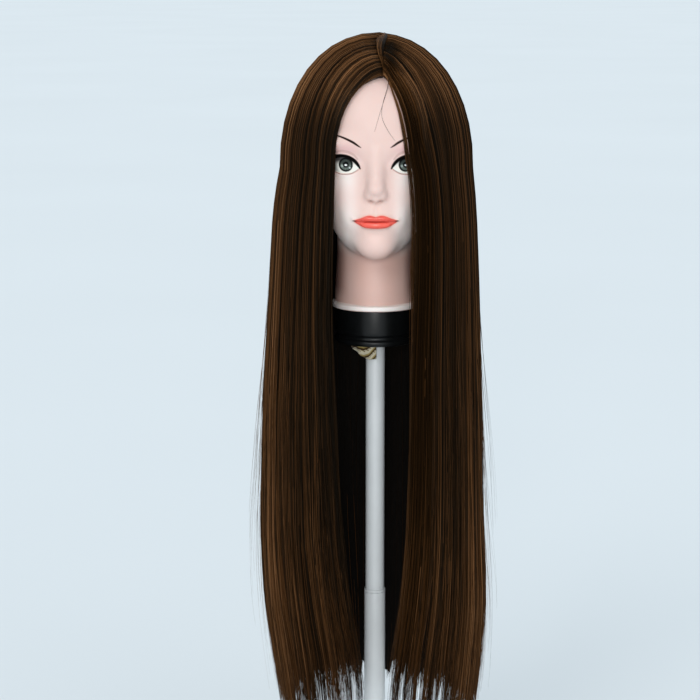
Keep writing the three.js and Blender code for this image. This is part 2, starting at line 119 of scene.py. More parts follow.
def mesh_object(name, points, faces, material):
    """A smooth-shaded piece from points in millimetres and a table of faces with equal corner counts."""
    points, faces = np.asarray(points, float), np.asarray(faces, np.int32)
    mesh = bpy.data.meshes.new(name)
    mesh.vertices.add(len(points))
    mesh.vertices.foreach_set("co", (points * MM).astype(np.float32).ravel())
    mesh.loops.add(faces.size)
    mesh.loops.foreach_set("vertex_index", faces.ravel())
    mesh.polygons.add(len(faces))
    mesh.polygons.foreach_set("loop_start", np.arange(0, faces.size, faces.shape[1], dtype=np.int32))
    mesh.update(calc_edges=True)
    mesh.shade_smooth()
    mesh.materials.append(material)
    piece = bpy.data.objects.new(name, mesh)
    bpy.context.scene.collection.objects.link(piece)
    return piece


def grid_faces(rows, columns, closed_columns=True, closed_rows=False):
    """Triangles of a grid of rows x columns points, numbered row by row."""
    r = np.arange(rows if closed_rows else rows - 1)[:, None]
    c = np.arange(columns if closed_columns else columns - 1)[None, :]
    below, right = (r + 1) % rows, (c + 1) % columns
    a, b = r * columns + c, r * columns + right
    d, e = below * columns + c, below * columns + right
    return np.stack([np.stack([a, b, e], -1), np.stack([a, e, d], -1)], 2).reshape(-1, 3)


def set_colours(piece, name, colours):
    """Stores one RGB per point as a colour attribute."""
    layer = piece.data.color_attributes.new(name, "FLOAT_COLOR", "POINT")
    rgba = np.ones((len(colours), 4), np.float32)
    rgba[:, :3] = colours
    layer.data.foreach_set("color", rgba.ravel())


def set_values(piece, name, values):
    layer = piece.data.attributes.new(name, "FLOAT", "POINT")
    layer.data.foreach_set("value", np.asarray(values, np.float32))


def set_uv(piece, uv):
    """A UV layer from one UV per point."""
    layer = piece.data.uv_layers.new(name="OFBake")
    corner = np.empty(len(piece.data.loops), np.int32)
    piece.data.loops.foreach_get("vertex_index", corner)
    layer.data.foreach_set("uv", np.asarray(uv, np.float32)[corner].ravel())


def ring_points(profile, segments):
    """Points of a turned piece: one ring of segments points for each [radius, height]."""
    angle = np.arange(segments) * 2 * math.pi / segments
    rings = [np.stack([r * np.cos(angle), r * np.sin(angle), np.full(segments, z)], 1) for r, z in profile]
    return np.concatenate(rings)


def rounded(profile, bevel):
    """A closed outline of [radius, height] with each corner rounded off."""
    points, steps = [], 4
    for i, here in enumerate(profile):
        here = np.array(here, float)
        before, after = np.array(profile[i - 1], float), np.array(profile[(i + 1) % len(profile)], float)
        back, ahead = before - here, after - here
        cut = min(bevel, 0.45 * np.linalg.norm(back), 0.45 * np.linalg.norm(ahead))
        start, end = here + unit(back) * cut, here + unit(ahead) * cut
        for t in np.linspace(0, 1, steps + 1):
            points.append((1 - t) ** 2 * start + 2 * t * (1 - t) * here + t ** 2 * end)
    return points


def turned(name, profile, material, body, node, bevel, segments=128):
    """A turned piece with softened corners, standing for a CAD node. The profile runs anticlockwise."""
    outline = rounded(profile, bevel)
    faces = grid_faces(len(outline), segments, closed_rows=True)[:, ::-1]
    piece = mesh_object(name, ring_points(outline, segments), faces, material)
    outward(piece)
    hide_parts(node)
    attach(piece, body)


def outward(piece):
    """Turns a closed mesh's faces outwards if they point in."""
    mesh = piece.data
    mesh.calc_loop_triangles()
    corners = np.empty(len(mesh.loop_triangles) * 3, np.int32)
    mesh.loop_triangles.foreach_get("vertices", corners)
    points = np.empty(len(mesh.vertices) * 3, np.float32)
    mesh.vertices.foreach_get("co", points)
    a, b, c = points.reshape(-1, 3)[corners.reshape(-1, 3)].astype(float).transpose(1, 0, 2)
    if np.einsum("ij,ij->i", a, np.cross(b, c)).sum() < 0:
        mesh.flip_normals()


# ---- Material helpers ---------------------------------------------------------------------

class Surface:
    """A node material around one Principled shader."""

    def __init__(self, name, **settings):
        self.material = bpy.data.materials.new(name)
        self.material.use_nodes = True
        self.tree = self.material.node_tree
        self.shader = self.tree.nodes["Principled BSDF"]
        for key, value in settings.items():
            self.shader.inputs[key.replace("_", " ")].default_value = value

    def node(self, kind, inputs=None, **settings):
        made = self.tree.nodes.new("ShaderNode" + kind)
        for key, value in settings.items():
            setattr(made, key, value)
        for key, value in (inputs or {}).items():
            self.put(made.inputs[key], value)
        return made

    def put(self, socket, value):
        if isinstance(value, bpy.types.NodeSocket):
            self.tree.links.new(value, socket)
        else:
            socket.default_value = value

    def set(self, **links):
        for key, value in links.items():
            self.put(self.shader.inputs[key.replace("_", " ")], value)

    def stored(self, name, output="Fac"):
        """An attribute stored with the piece's points."""
        return self.node("Attribute", attribute_name=name).outputs[output]

    def place(self, scale=(1, 1, 1)):
        """The object's own coordinates, in metres, stretched by scale."""
        where = self.node("TexCoord").outputs["Object"]
        return self.node("Mapping", {"Vector": where, "Scale": scale}).outputs["Vector"]

    def noise(self, scale, detail, stretch=(1, 1, 1), roughness=0.5):
        made = self.node("TexNoise", {
            "Vector": self.place(stretch), "Scale": scale, "Detail": detail, "Roughness": roughness})
        return made.outputs["Fac"]

    def ramp(self, value, *stops):
        """Maps a value through colour stops of (position, colour)."""
        made = self.node("ValToRGB", {"Fac": value})
        elements = made.color_ramp.elements
        while len(elements) < len(stops):
            elements.new(0.5)
        for element, (position, colour) in zip(elements, stops):
            element.position = position
            element.color = (*colour, 1) if len(colour) == 3 else colour
        return made.outputs["Color"]

    def span(self, value, low, high):
        """Maps 0..1 onto low..high."""
        return self.node("MapRange", {"Value": value, "To Min": low, "To Max": high}).outputs["Result"]

    def tinted(self, base, value, low, high):
        """A colour made lighter and darker by a 0..1 value."""
        share = self.span(value, low, high)
        grey = self.node("CombineXYZ", {0: share, 1: share, 2: share}).outputs["Vector"]
        return self.node("VectorMath", {0: base, 1: grey}, operation="MULTIPLY").outputs["Vector"]

    def bump(self, height, strength, distance):
        made = self.node("Bump", {"Height": height, "Strength": strength, "Distance": distance})
        self.put(self.shader.inputs["Normal"], made.outputs["Normal"])


def linear(red, green, blue):
    """Display RGB from 0 to 255 as scene-linear RGB."""
    share = np.array([red, green, blue]) / 255
    return np.where(share <= 0.04045, share / 12.92, ((share + 0.055) / 1.055) ** 2.4)


BACKDROP = tuple(linear(219, 231, 238))


# ---- Materials ----------------------------------------------------------------------------

def vinyl_material():
    """Painted soft vinyl: the paint is in the point colours, over a faint moulded grain."""
    s = Surface("head_vinyl", Subsurface_Weight=0.1, Subsurface_Scale=0.003,
                Subsurface_Radius=(1.0, 0.45, 0.3))
    paint = s.stored("paint", "Color")
    mottle = s.noise(38, 4)
    s.set(Base_Color=s.tinted(paint, mottle, 0.96, 1.03))
    gloss = s.stored("gloss")
    shine = s.node("MapRange", {"Value": gloss, "From Min": MATT, "From Max": 0.0,
                                "To Min": 0.04, "To Max": 0.42})
    s.set(Specular_IOR_Level=shine.outputs["Result"])
    dull = s.span(gloss, 0.46, 0.16)
    s.set(Roughness=s.node("Math", {0: dull, 1: s.span(s.noise(160, 2), -0.04, 0.05)}).outputs[0])
    s.bump(s.noise(900, 2), 0.12, 0.0002)
    return s.material


def hair_material(name, gloss):
    """Straight dark brown fibre; the shade of each strand, its own tone with painted light and shade, is
    stored with its points.
    """
    s = Surface(name, Specular_IOR_Level=gloss, Specular_Tint=(1.0, 0.8, 0.62, 1))
    shade = s.stored("shade")
    colour = s.ramp(shade, (0.0, linear(12, 7, 3)), (0.3, linear(38, 23, 9)), (0.6, linear(86, 55, 29)),
                    (1.0, linear(146, 102, 66)))
    drift = s.noise(60, 3, stretch=(1, 1, 0.06))
    s.set(Base_Color=s.tinted(colour, drift, 0.75, 1.25))
    s.set(Roughness=s.span(s.noise(400, 2, stretch=(1, 1, 0.05)), 0.34, 0.5))
    return s.material


def hair_mass_material():
    """The wig's depth under its outer strands, painted darker than the strands as painted shade, streaked
    along the fibres.
    """
    s = Surface("hair_mass", Specular_IOR_Level=0.1)
    streaks = s.noise(900, 4, stretch=(1, 1, 0.012), roughness=0.7)
    s.set(Base_Color=s.ramp(streaks, (0.3, linear(6, 4, 2)), (0.55, linear(14, 9, 5)),
                            (0.8, linear(30, 19, 10))))
    s.set(Roughness=s.span(streaks, 0.5, 0.75))
    s.bump(streaks, 0.9, 0.0012)
    return s.material


def plain_material(name, cloud, shades, wear, roughness, grain, relief, **settings):
    """A paint, plastic, rubber or metal. cloud, wear and grain are noises, as Surface.noise takes them:
    cloud spreads the two shades, wear the range of roughness, and grain the relief, which is its
    strength and its depth in metres. Without a grain the relief follows the cloud."""
    s = Surface(name, **settings)
    patches = s.noise(*cloud)
    s.set(Base_Color=s.ramp(patches, *[(position, linear(*rgb)) for position, rgb in shades]))
    s.set(Roughness=s.span(s.noise(*wear), *roughness))
    s.bump(s.noise(*grain) if grain else patches, *relief)
    return s.material


def pole_material():
    """Satin off-white paint, a little duller in patches and scuffed along the pole."""
    return plain_material(
        "pole_paint", cloud=(14, 4), shades=[(0.3, (222, 225, 226)), (0.7, (238, 241, 242))],
        wear=(700, 3, (1, 1, 0.03)), roughness=(0.3, 0.46), grain=(1500, 2), relief=(0.08, 0.0001),
        Specular_IOR_Level=0.5, Coat_Weight=0.15, Coat_Roughness=0.3)


def cup_material():
    """Black moulded plastic with a satin skin and faint handling marks."""
    return plain_material(
        "cup_plastic", cloud=(30, 4), shades=[(0.35, (7, 8, 8)), (0.75, (15, 16, 17))],
        wear=(90, 5, (1, 1, 1), 0.65), roughness=(0.22, 0.42), grain=(1300, 2), relief=(0.1, 0.00015),
        Specular_IOR_Level=0.24)


def grey_plastic_material():
    return plain_material(
        "grey_plastic", cloud=(60, 3), shades=[(0.3, (52, 54, 57)), (0.8, (70, 72, 76))],
        wear=(200, 3), roughness=(0.4, 0.58), grain=(1800, 2), relief=(0.15, 0.00012),
        Specular_IOR_Level=0.45)


def metal_material(name, dark, bright, roughness, lines_along):
    """Turned or drawn metal with fine tool lines; lines_along stretches their noise along each axis."""
    return plain_material(
        name, cloud=(1200, 3, lines_along), shades=[(0.3, dark), (0.75, bright)],
        wear=(80, 4), roughness=roughness, grain=None, relief=(0.15, 0.0001), Metallic=1.0)


def iron_material():
    """Rough cast iron under a thin black coat."""
    return plain_material(
        "weight_iron", cloud=(50, 5), shades=[(0.3, (36, 38, 41)), (0.8, (62, 64, 66))],
        wear=(120, 4), roughness=(0.55, 0.8), grain=(420, 5, (1, 1, 1), 0.7), relief=(0.6, 0.0006),
        Metallic=0.5, Specular_IOR_Level=0.4)


def rubber_material():
    return plain_material(
        "foot_rubber", cloud=(120, 3), shades=[(0.3, (22, 22, 23)), (0.8, (38, 38, 39))],
        wear=(300, 3), roughness=(0.7, 0.9), grain=(2200, 2), relief=(0.3, 0.0002),
        Specular_IOR_Level=0.3)


def lace_material():
    """Fine stretch net, woven on a grid of about 1.4 mm."""
    s = Surface("cap_lace", Specular_IOR_Level=0.2)
    cells = s.node("TexVoronoi", {"Vector": s.place(), "Scale": 700.0}, feature="DISTANCE_TO_EDGE")
    web = cells.outputs["Distance"]
    s.set(Base_Color=s.ramp(web, (0.02, linear(44, 32, 24)), (0.12, linear(18, 13, 10))))
    s.set(Roughness=s.span(s.noise(300, 3), 0.75, 0.95))
    s.bump(web, 0.5, 0.0004)
    return s.material


def cloth_material():
    """Woven cream cotton with printed diagonal stripes; the stripe attribute counts across them."""
    s = Surface("striped_cloth", Specular_IOR_Level=0.15, Sheen_Weight=0.2, Roughness=0.9)
    stripe = s.stored("stripe")
    cream, gold, brown = linear(206, 196, 170), linear(158, 138, 84), linear(62, 42, 14)
    s.set(Base_Color=s.ramp(stripe, (0.0, cream), (0.4, cream), (0.46, gold), (0.6, gold), (0.66, brown),
                            (0.84, brown), (0.9, cream)))
    weave = s.node("TexVoronoi", {"Vector": s.place(), "Scale": 1400.0}).outputs["Distance"]
    s.bump(weave, 0.6, 0.0004)
    return s.material


# ---- Camera, floor and light --------------------------------------------------------------

def aimed(name, data, place, turn):
    """An object of the scene's own, such as a light, at a place and turned by a quaternion."""
    made = bpy.data.objects.new(name, data)
    made.location = place
    made.rotation_mode = "QUATERNION"
    made.rotation_quaternion = turn
    bpy.context.scene.collection.objects.link(made)
    return made


def camera():
    """From in front and a little above the crown, looking down, with the head right of the middle."""
    aim = Vector((-0.0266, 0.0, 0.497))
    distance, pitch = 2.2, math.radians(10.9)
    place = Vector((0.0, -distance * math.cos(pitch), aim.z + distance * math.sin(pitch)))
    data = bpy.data.cameras.new("camera")
    data.sensor_width = 36
    frame_width = 0.735  # of the picture, at the pole
    data.lens = data.sensor_width * distance / frame_width
    data.clip_end = 500
    bpy.context.scene.camera = aimed("camera", data, place, (aim - place).to_track_quat("-Z", "Y"))


def floor():
    side = 60000  # far enough to lie behind the whole object
    corners = [[-side, -side, 0], [side, -side, 0], [side, side, 0], [-side, side, 0]]
    s = Surface("floor_paint", Specular_IOR_Level=0.0, Roughness=0.9)
    share = np.array([0.727, 0.752, 0.77])  # of the light on it, so that the floor matches the surround
    s.set(Base_Color=s.ramp(s.noise(0.7, 2), (0.3, share), (0.7, share * 1.02)))
    mesh_object("floor", corners, [[0, 1, 2, 3]], s.material)


def sun(name, azimuth, height, strength, softness, colour=(1, 1, 1)):
    """A soft distant light. Azimuth 0 shines on the face, and 90 on the +X side; all in degrees."""
    data = bpy.data.lights.new(name, "SUN")
    data.energy, data.angle, data.color = strength, math.radians(softness), colour
    turn, rise = math.radians(azimuth), math.radians(height)
    towards = Vector((math.sin(turn) * math.cos(rise), -math.cos(turn) * math.cos(rise), math.sin(rise)))
    aimed(name, data, towards * 3, towards.to_track_quat("Z", "Y"))


def studio():
    """An even pale surround with soft light from the front left, weaker from the right and behind."""
    world = bpy.data.worlds.new("studio")
    world.use_nodes = True
    sky = world.node_tree.nodes["Background"]
    sky.inputs["Color"].default_value = (*BACKDROP, 1)
    sky.inputs["Strength"].default_value = 1.0
    bpy.context.scene.world = world
    bpy.context.scene.view_settings.view_transform = "Standard"
    sun("key", -30, 34, 0.5, 25, (1.0, 0.985, 0.96))
    sun("front", -2, 8, 1.05, 18, (1.0, 0.99, 0.975))
    sun("fill", 50, 18, 0.3, 45, (0.97, 0.985, 1.0))
    sun("back", 170, 40, 0.5, 40)


# ---- The head's surface -------------------------------------------------------------------
# A blend of egg-shaped lumps round a neck, less a few hollows. Its surface is where the distance is 0.

def both(x, y, z, *rest):
    """A lump and its mirror image."""
    return [([-x, y, z], *rest), ([x, y, z], *rest)]


# Each lump: centre, half sizes, and the width over which it blends into those before it.
LUMPS = [
    ([0, 12, 742], [72, 88, 80], 0),  # skull
    ([0, -20, 735], [60, 67, 58], 25),  # forehead
    ([0, -30, 690], [57, 54, 62], 25),  # middle of the face
    ([0, -34, 650], [46, 50, 50], 22),  # jaw
    *both(43, -42, 684, [20, 20, 20], 14),  # cheekbones
    ([0, -68, 619], [18, 16, 16], 12),  # chin
    *both(27, -70, 722, [19, 12, 7], 12),  # brow ridge
    ([0, -70, 648], [27, 16, 17], 12),  # muzzle
    *both(29.8, -63.5, 700, [15.5, 15.5, 14.5], 5),  # eyeballs
    ([0, -83, 701], [4.4, 6.5, 13], 10),  # bridge of the nose
    ([0, -87, 687], [5.8, 7.5, 13], 10),
    ([0, -91.5, 676.5], [7.6, 7.8, 7.4], 7),  # tip of the nose
    *both(6.2, -86, 669.6, [4.2, 6.5, 4.4], 6),  # wings of the nose
    ([0, -88.5, 667], [3.6, 6, 4], 5),  # below the tip
    *both(6.5, -85.5, 647.2, [10, 5.2, 3.6], 3.5),  # upper lip
    *both(15, -81.5, 645.4, [8, 4, 2.2], 3),
    ([0, -86, 640.3], [14, 5.0, 4.0], 3.5),  # lower lip
    *both(72, 8, 690, [5, 13, 27], 4),  # ears
]
HOLLOWS = [
    *both(30, -97, 701, [15, 13, 9], 10),  # eye sockets
    *both(4.6, -92, 663.4, [2.0, 5.5, 1.4], 2.5),  # nostrils
    ([0, -93.5, 655], [1.8, 5, 6], 3),  # groove under the nose
    ([0, -95.5, 643.8], [24, 11, 0.7], 1.2),  # line of the mouth
    ([0, -95, 630.5], [15, 9, 4.5], 6),  # fold above the chin
]
PLAIN_LUMPS = 7  # the first of them give the head without its features
NECK = {"rim_top": 550.0, "rim": 46.0, "slim": 42.4, "top": 40.0, "setback": 6.0}


def lump_distance(p, centre, half):
    """About how far points p are outside an ellipsoid."""
    away = p - np.array(centre, float)
    half = np.array(half, float)
    near = np.linalg.norm(away / half, axis=-1)
    slope = np.linalg.norm(away / half ** 2, axis=-1)
    return near * (near - 1) / np.maximum(slope, 1e-9)


def blended_min(a, b, width):
    """The lesser of two distances, rounded off where they differ by less than width."""
    overlap = np.maximum(width - np.abs(a - b), 0)
    return np.minimum(a, b) - overlap ** 2 / (4 * max(width, 1e-9))


def head_distance(p, detailed=True):
    """About how far points p are outside the head; without the finer features unless detailed."""
    lumps = LUMPS if detailed else LUMPS[:PLAIN_LUMPS]
    distance = lump_distance(p, *lumps[0][:2])
    for centre, half, width in lumps[1:]:
        distance = blended_min(distance, lump_distance(p, centre, half), width)
    z = p[..., 2]
    centre = NECK["setback"] * smooth(z, 570, 615)
    radius = mix(NECK["slim"], NECK["top"], np.clip((z - 560) / 40, 0, 1))
    radius = mix(NECK["rim"], radius, smooth(z, NECK["rim_top"] - 0.4, NECK["rim_top"] + 1.6))
    neck = np.maximum(np.hypot(p[..., 0], p[..., 1] - centre) - radius, z - 650)
    distance = blended_min(distance, neck, 10)
    if detailed:
        for centre, half, width in HOLLOWS:
            distance = -blended_min(-distance, lump_distance(p, centre, half), width)
    return distance


def on_head(z, azimuth, elevation):
    """Where rays from heights z on the head's middle line leave its surface. Azimuth 0 is the face."""
    level = np.cos(elevation)
    way = np.stack([np.sin(azimuth) * level, -np.cos(azimuth) * level, np.sin(elevation)], -1)
    start = np.stack([np.zeros_like(z), np.full_like(z, SKULL_MIDDLE[0]), z], -1)
    length = np.full(z.shape, 150.0)
    for _ in range(34):
        length = length - 0.75 * head_distance(start + way * length[..., None])
    return start + way * length[..., None]


# ---- Painted features ---------------------------------------------------------------------

def stretch_distance(x, z, x0, z0, x1, z1):
    """Distance to the stretch between two points, and how far along it the nearest place is, 0 to 1."""
    across, up = x1 - x0, z1 - z0
    t = np.clip(((x - x0) * across + (z - z0) * up) / max(across ** 2 + up ** 2, 1e-9), 0, 1)
    return np.hypot(x - x0 - t * across, z - z0 - t * up), t


def line_distance(x, z, points):
    """Distance to a brushed line through points of (x, z, half width); negative inside it."""
    best = np.full(x.shape, 1e9)
    for (x0, z0, r0), (x1, z1, r1) in zip(points, points[1:]):
        away, t = stretch_distance(x, z, x0, z0, x1, z1)
        best = np.minimum(best, away - mix(r0, r1, t))
    return best


def outline_distance(x, z, points):
    """Distance to a closed outline of (x, z); negative inside it."""
    best, inside = np.full(x.shape, 1e9), np.zeros(x.shape, bool)
    for (x0, z0), (x1, z1) in zip(points, points[1:] + points[:1]):
        best = np.minimum(best, stretch_distance(x, z, x0, z0, x1, z1)[0])
        crosses = (z0 > z) != (z1 > z)
        inside ^= crosses & (x < x0 + (z - z0) * (x1 - x0) / (z1 - z0 if z1 != z0 else 1e-9))
    return np.where(inside, -best, best)


def curved(points, steps=6, closed=False):
    """A smooth curve through points (Catmull-Rom)."""
    points = [np.array(p, float) for p in points]
    if closed:
        padded = [points[-1], *points, points[0], points[1]]
    else:
        padded = [points[0], *points, points[-1]]
    result = []
    for a, b, c, d in zip(padded, padded[1:], padded[2:], padded[3:]):
        for t in np.arange(steps) / steps:
            result.append(0.5 * (2 * b + (c - a) * t + (2 * a - 5 * b + 4 * c - d) * t ** 2
                                 + (3 * b - a - 3 * c + d) * t ** 3))
    if not closed:
        result.append(points[-1])
    return [tuple(p) for p in result]


# Brushed lines of (x, z, half width) and closed outlines of (x, z). Those of the eyes and brows are for
# the +X side, and stand for both.
BROW = curved([(14.6, 717.6, 0.2), (17.5, 719.4, 0.8), (22.5, 722.7, 1.15), (28, 725.4, 1.05),
               (34, 727.7, 0.9), (41, 729.4, 0.6), (47, 729.4, 0.2)])
LID = curved([(15.4, 696.6, 0.7), (17.6, 700.2, 1.7), (21, 704.2, 2.0), (26, 707.4, 1.9),
              (32, 708.9, 1.8), (39, 708.2, 1.9), (45, 705.0, 1.8), (50.5, 700.0, 0.6)])
EYE = curved([(16.6, 697.4), (18.6, 701), (22.6, 705.2), (28, 708), (34, 708.8), (40, 707.2),
              (45.5, 703.5), (46.4, 699.0), (42, 694.0), (36.5, 691.8), (30, 691.2), (24, 692.2),
              (19.4, 694.6)], closed=True)
LOWER_LID = curved([(17.5, 695.4, 0.2), (24, 691.4, 0.35), (30, 690.4, 0.4), (37, 691.0, 0.4),
                    (45, 695.2, 0.3)])
CREASE = curved([(18, 706, 0.2), (23, 711, 0.5), (31, 713.6, 0.6), (39, 712.6, 0.5), (46, 708.6, 0.2)])
LIP_SIDE = [(6, 637.0), (12, 638.2), (17.5, 640.8), (21.6, 644.4), (15.6, 647.2), (10.5, 649.4),
            (5.9, 650.3), (2.4, 649.6)]
LIPS = curved([(0, 636.7), *LIP_SIDE, (0, 648.9), *[(-x, z) for x, z in reversed(LIP_SIDE)]], closed=True)
MOUTH_LINE = curved([(0, 643.2, 0.35), (5, 643.9, 0.35), (11, 643.4, 0.35), (17, 643.9, 0.4),
                     (21, 644.3, 0.5)])
MOUTH_CORNER = [(19.4, 644.3, 0.3), (21.6, 644.3, 0.6), (23.2, 644.1, 0.2)]
SKIN = linear(223, 191, 181)
IRIS = {"x": 29.8, "z": 700.0, "radius": 7.1}
MATT = -1.0  # gloss of the lash and brow paint; the skin's is 0 and the wet eye's is 1
LASH_BLACK, EYE_WHITE, LIP_RED = (10, 7, 7), (238, 232, 222), (236, 92, 76)  # display RGB


class Paint:
    """The colour and gloss of each point of the head's skin, laid on in layers."""

    def __init__(self, points):
        self.x, self.y, self.z = points.T
        self.side = np.abs(self.x)
        self.front = smooth(self.y, -35, -55)
        self.colour = np.tile(SKIN, (len(points), 1))
        self.gloss = np.zeros(len(points))

    def coat(self, cover, rgb):
        """A layer anywhere on the skin."""
        self.colour = mix(self.colour, linear(*rgb), cover[:, None])

    def layer(self, cover, rgb, shine=None):
        """A layer on the face only, with a gloss of its own if it has one."""
        cover = np.clip(cover * self.front, 0, 1)
        self.coat(cover, rgb)
        if shine is not None:
            self.gloss = mix(self.gloss, shine, cover)

    def spot(self, cx, cz, rx, rz):
        """A soft round spot on each side: 1 in the middle, fading out to the edge."""
        return smooth(np.hypot((self.side - cx) / rx, (self.z - cz) / rz), 1, 0)


def paint_skin(paint):
    """The skin's tints, with painted light on the cheeks and jaw, painted shade at the nose's root and on the
    neck, and the neck's rim.
    """
    side, y, z = paint.side, paint.y, paint.z
    # Painted light: the cheeks and jaw are painted paler where the hair shades them.
    painted_cheek_light = 0.85 * smooth(z, 712, 690) * smooth(side, 12, 30) * smooth(y, 18, -8)
    paint.coat(painted_cheek_light, (252, 238, 231))  # painted light: cheeks and jaw paler than the rest, lifting the shade the hair casts on them
    paint.coat(0.75 * painted_cheek_light * smooth(side, 28, 44), (255, 224, 212))  # painted light: warmer and paler still at the face's sides
    paint.layer(0.3 * paint.spot(34, 668, 24, 22), (238, 188, 178))  # blush
    paint.layer(0.55 * paint.spot(30, 716, 22, 9), (219, 172, 172))  # eye shadow
    paint.layer(0.35 * paint.spot(16, 706, 9, 14), (214, 182, 176))  # painted shade at the side of the nose's root
    paint.layer(0.35 * paint.spot(0, 655, 14, 10), (228, 196, 184))  # above the lips
    paint.coat(0.85 * smooth(z, 618, 596) * smooth(z, 550.6, 552.6), (218, 176, 163))  # painted shade on the neck, under the chin and hair
    # Painted shade: the neck's sides below the jaw, darker still.
    painted_neck_shade = smooth(side, 26, 39) * smooth(y, -50, -36) * smooth(z, 552, 570)
    paint.coat(0.75 * smooth(z, 618, 600) * painted_neck_shade, (150, 104, 92))
    paint.coat(smooth(z, 551.6, 550.2), (252, 240, 234))  # the neck's rim, paler than the skin: partly a paler rim, partly painted light that it catches from above


def paint_eyes(paint):
    """The white with its shades, the iris with its rays and glints, then lashes, lower lid and brow."""
    side, z = paint.side, paint.z
    paint.layer(smooth(np.abs(line_distance(side, z, CREASE)), 1.2, 0) * 0.45, (150, 112, 108))
    eye = outline_distance(side, z, EYE)
    inside = smooth(eye, 0.2, -0.6)
    paint.layer(smooth(eye, 2.4, 0.2) * 0.5, (206, 160, 150))  # shaded skin round the eye
    paint.layer(smooth(eye, 0.25, -0.25), EYE_WHITE, 0.9)
    paint.layer(inside * smooth(z, 699, 705), (52, 48, 48), 0.0)  # the lid's shade on the white
    paint.layer(inside * smooth(side, 36, 41) * 0.7, (70, 66, 64), 0.0)  # and its outer corner's

    right, up = paint.x - np.sign(paint.x) * IRIS["x"], z - IRIS["z"]
    turn, way = np.hypot(right, up), np.arctan2(up, right)
    within = smooth(eye, 0.2, -0.2)
    paint.layer(smooth(turn, IRIS["radius"] + 0.25, IRIS["radius"] - 0.25) * within, (8, 9, 9), MATT)
    rays = 0.5 + 0.5 * np.sin(way * 34 + 3 * np.sin(way * 5))
    # The iris's grey ring, painted darker towards its top as painted shade under the lid.
    lit = smooth(turn, 5.8, 5.0) * mix(0.35, 1.0, smooth(up, 3.0, -2.0))
    paint.layer(lit * within * mix(0.3, 0.85, rays), (122, 132, 124), MATT)
    # A painted highlight: a paler patch low on each iris's -X side.
    paint.layer(smooth(np.hypot(right + 3.6, up + 1.2), 1.9, 0.6) * within * 0.7, (176, 186, 178), MATT)
    paint.layer(smooth(turn, 3.3, 2.7) * within, (5, 6, 7), MATT)  # pupil
    # Painted highlights: a glint in the middle of each iris and a fainter one low on its +X side.
    paint.layer(smooth(np.hypot(right / 1.5, up + 0.4), 1.1, 0.5) * within, (252, 252, 250), 1.0)
    paint.layer(smooth(np.hypot(right - 3.9, up + 3.0), 1.2, 0.5) * within * 0.7, (220, 226, 222), 1.0)

    paint.layer(smooth(line_distance(side, z, LID), 0.35, -0.35), LASH_BLACK, MATT)
    paint.layer(smooth(line_distance(side, z, LOWER_LID), 0.5, -0.2) * 0.75, (150, 104, 92))
    paint.layer(smooth(line_distance(side, z, BROW), 0.45, -0.35), (30, 14, 11), MATT)


def paint_mouth(paint):
    """The lips with their shade, edge and a painted highlight, the line between them, and painted shade in
    the nostrils.
    """
    x, side, z = paint.x, paint.side, paint.z
    lips = outline_distance(x, z, LIPS)
    upper = smooth(z, 642.5, 645)
    paint.layer(smooth(lips, 1.6, 0.2) * 0.5, (244, 172, 152))
    paint.layer(smooth(lips, 0.3, -0.3), LIP_RED, 0.65)
    paint.layer(smooth(lips, 0.0, -1.0) * upper * 0.45, (212, 72, 62))
    paint.layer(smooth(np.abs(lips + 0.4), 1.0, 0.1) * smooth(lips, 0.4, 0) * 0.35, (190, 62, 54))
    # A painted highlight on the lower lip.
    paint.layer(smooth(np.hypot(x / 7, (z - 640.2) / 1.8), 1, 0) * 0.5, (246, 118, 98), 0.8)
    paint.layer(smooth(line_distance(side, z, MOUTH_LINE), 0.8, -0.1) * 0.5, (172, 44, 38), 0.6)
    paint.layer(smooth(line_distance(side, z, MOUTH_CORNER), 0.4, -0.3), (52, 24, 20))
    paint.layer(paint.spot(5.2, 664.6, 5.0, 3.0) * 0.6, (172, 136, 124))  # painted shade in the nostrils


def lid_relief(points):
    """How far the lids and the lips' edges stand out from the moulded surface."""
    side, z = np.abs(points[:, 0]), points[:, 2]
    front = smooth(points[:, 1], -45, -62)
    eye = outline_distance(side, z, EYE)
    lid = smooth(eye, -0.4, 0.7) * smooth(eye, 7, 1) * mix(0.7, 1.5, smooth(z, 694, 704))
    lips = outline_distance(points[:, 0], z, LIPS)
    return front * (lid + 0.35 * smooth(lips, 1.0, -0.6))


def skin_grid():
    """Points of the head's outer surface, row by row from the crown down, and their azimuths. They are
    closest across the face and at the neck's rim."""
    face_half, face_step, rest_step = 62.0, 0.36, 3.2  # degrees
    face = np.arange(-face_half, face_half + 0.01, face_step)
    rest = np.linspace(face_half, 360 - face_half, int((360 - 2 * face_half) / rest_step) + 1)[1:-1]
    azimuth = np.radians(np.concatenate([face, rest]))
    dome = np.radians(np.linspace(88, 40, 26))
    levels, tilts = [np.full(len(dome), SKULL_MIDDLE[1])], [dome]
    face_rows = np.arange(SKULL_MIDDLE[1] + 62, 600, -0.5)
    levels.append(np.minimum(face_rows, SKULL_MIDDLE[1]))
    tilts.append(np.arctan2(np.maximum(face_rows - SKULL_MIDDLE[1], 0), 78.0))
    neck_rows = np.concatenate([np.arange(600, 556, -1.6), np.arange(556, 548, -0.35), [547.4, 546.4]])
    levels.append(neck_rows)
    tilts.append(np.zeros(len(neck_rows)))
    level, tilt = np.concatenate(levels), np.concatenate(tilts)
    return on_head(*np.broadcast_arrays(level[:, None], azimuth[None, :], tilt[:, None])), azimuth


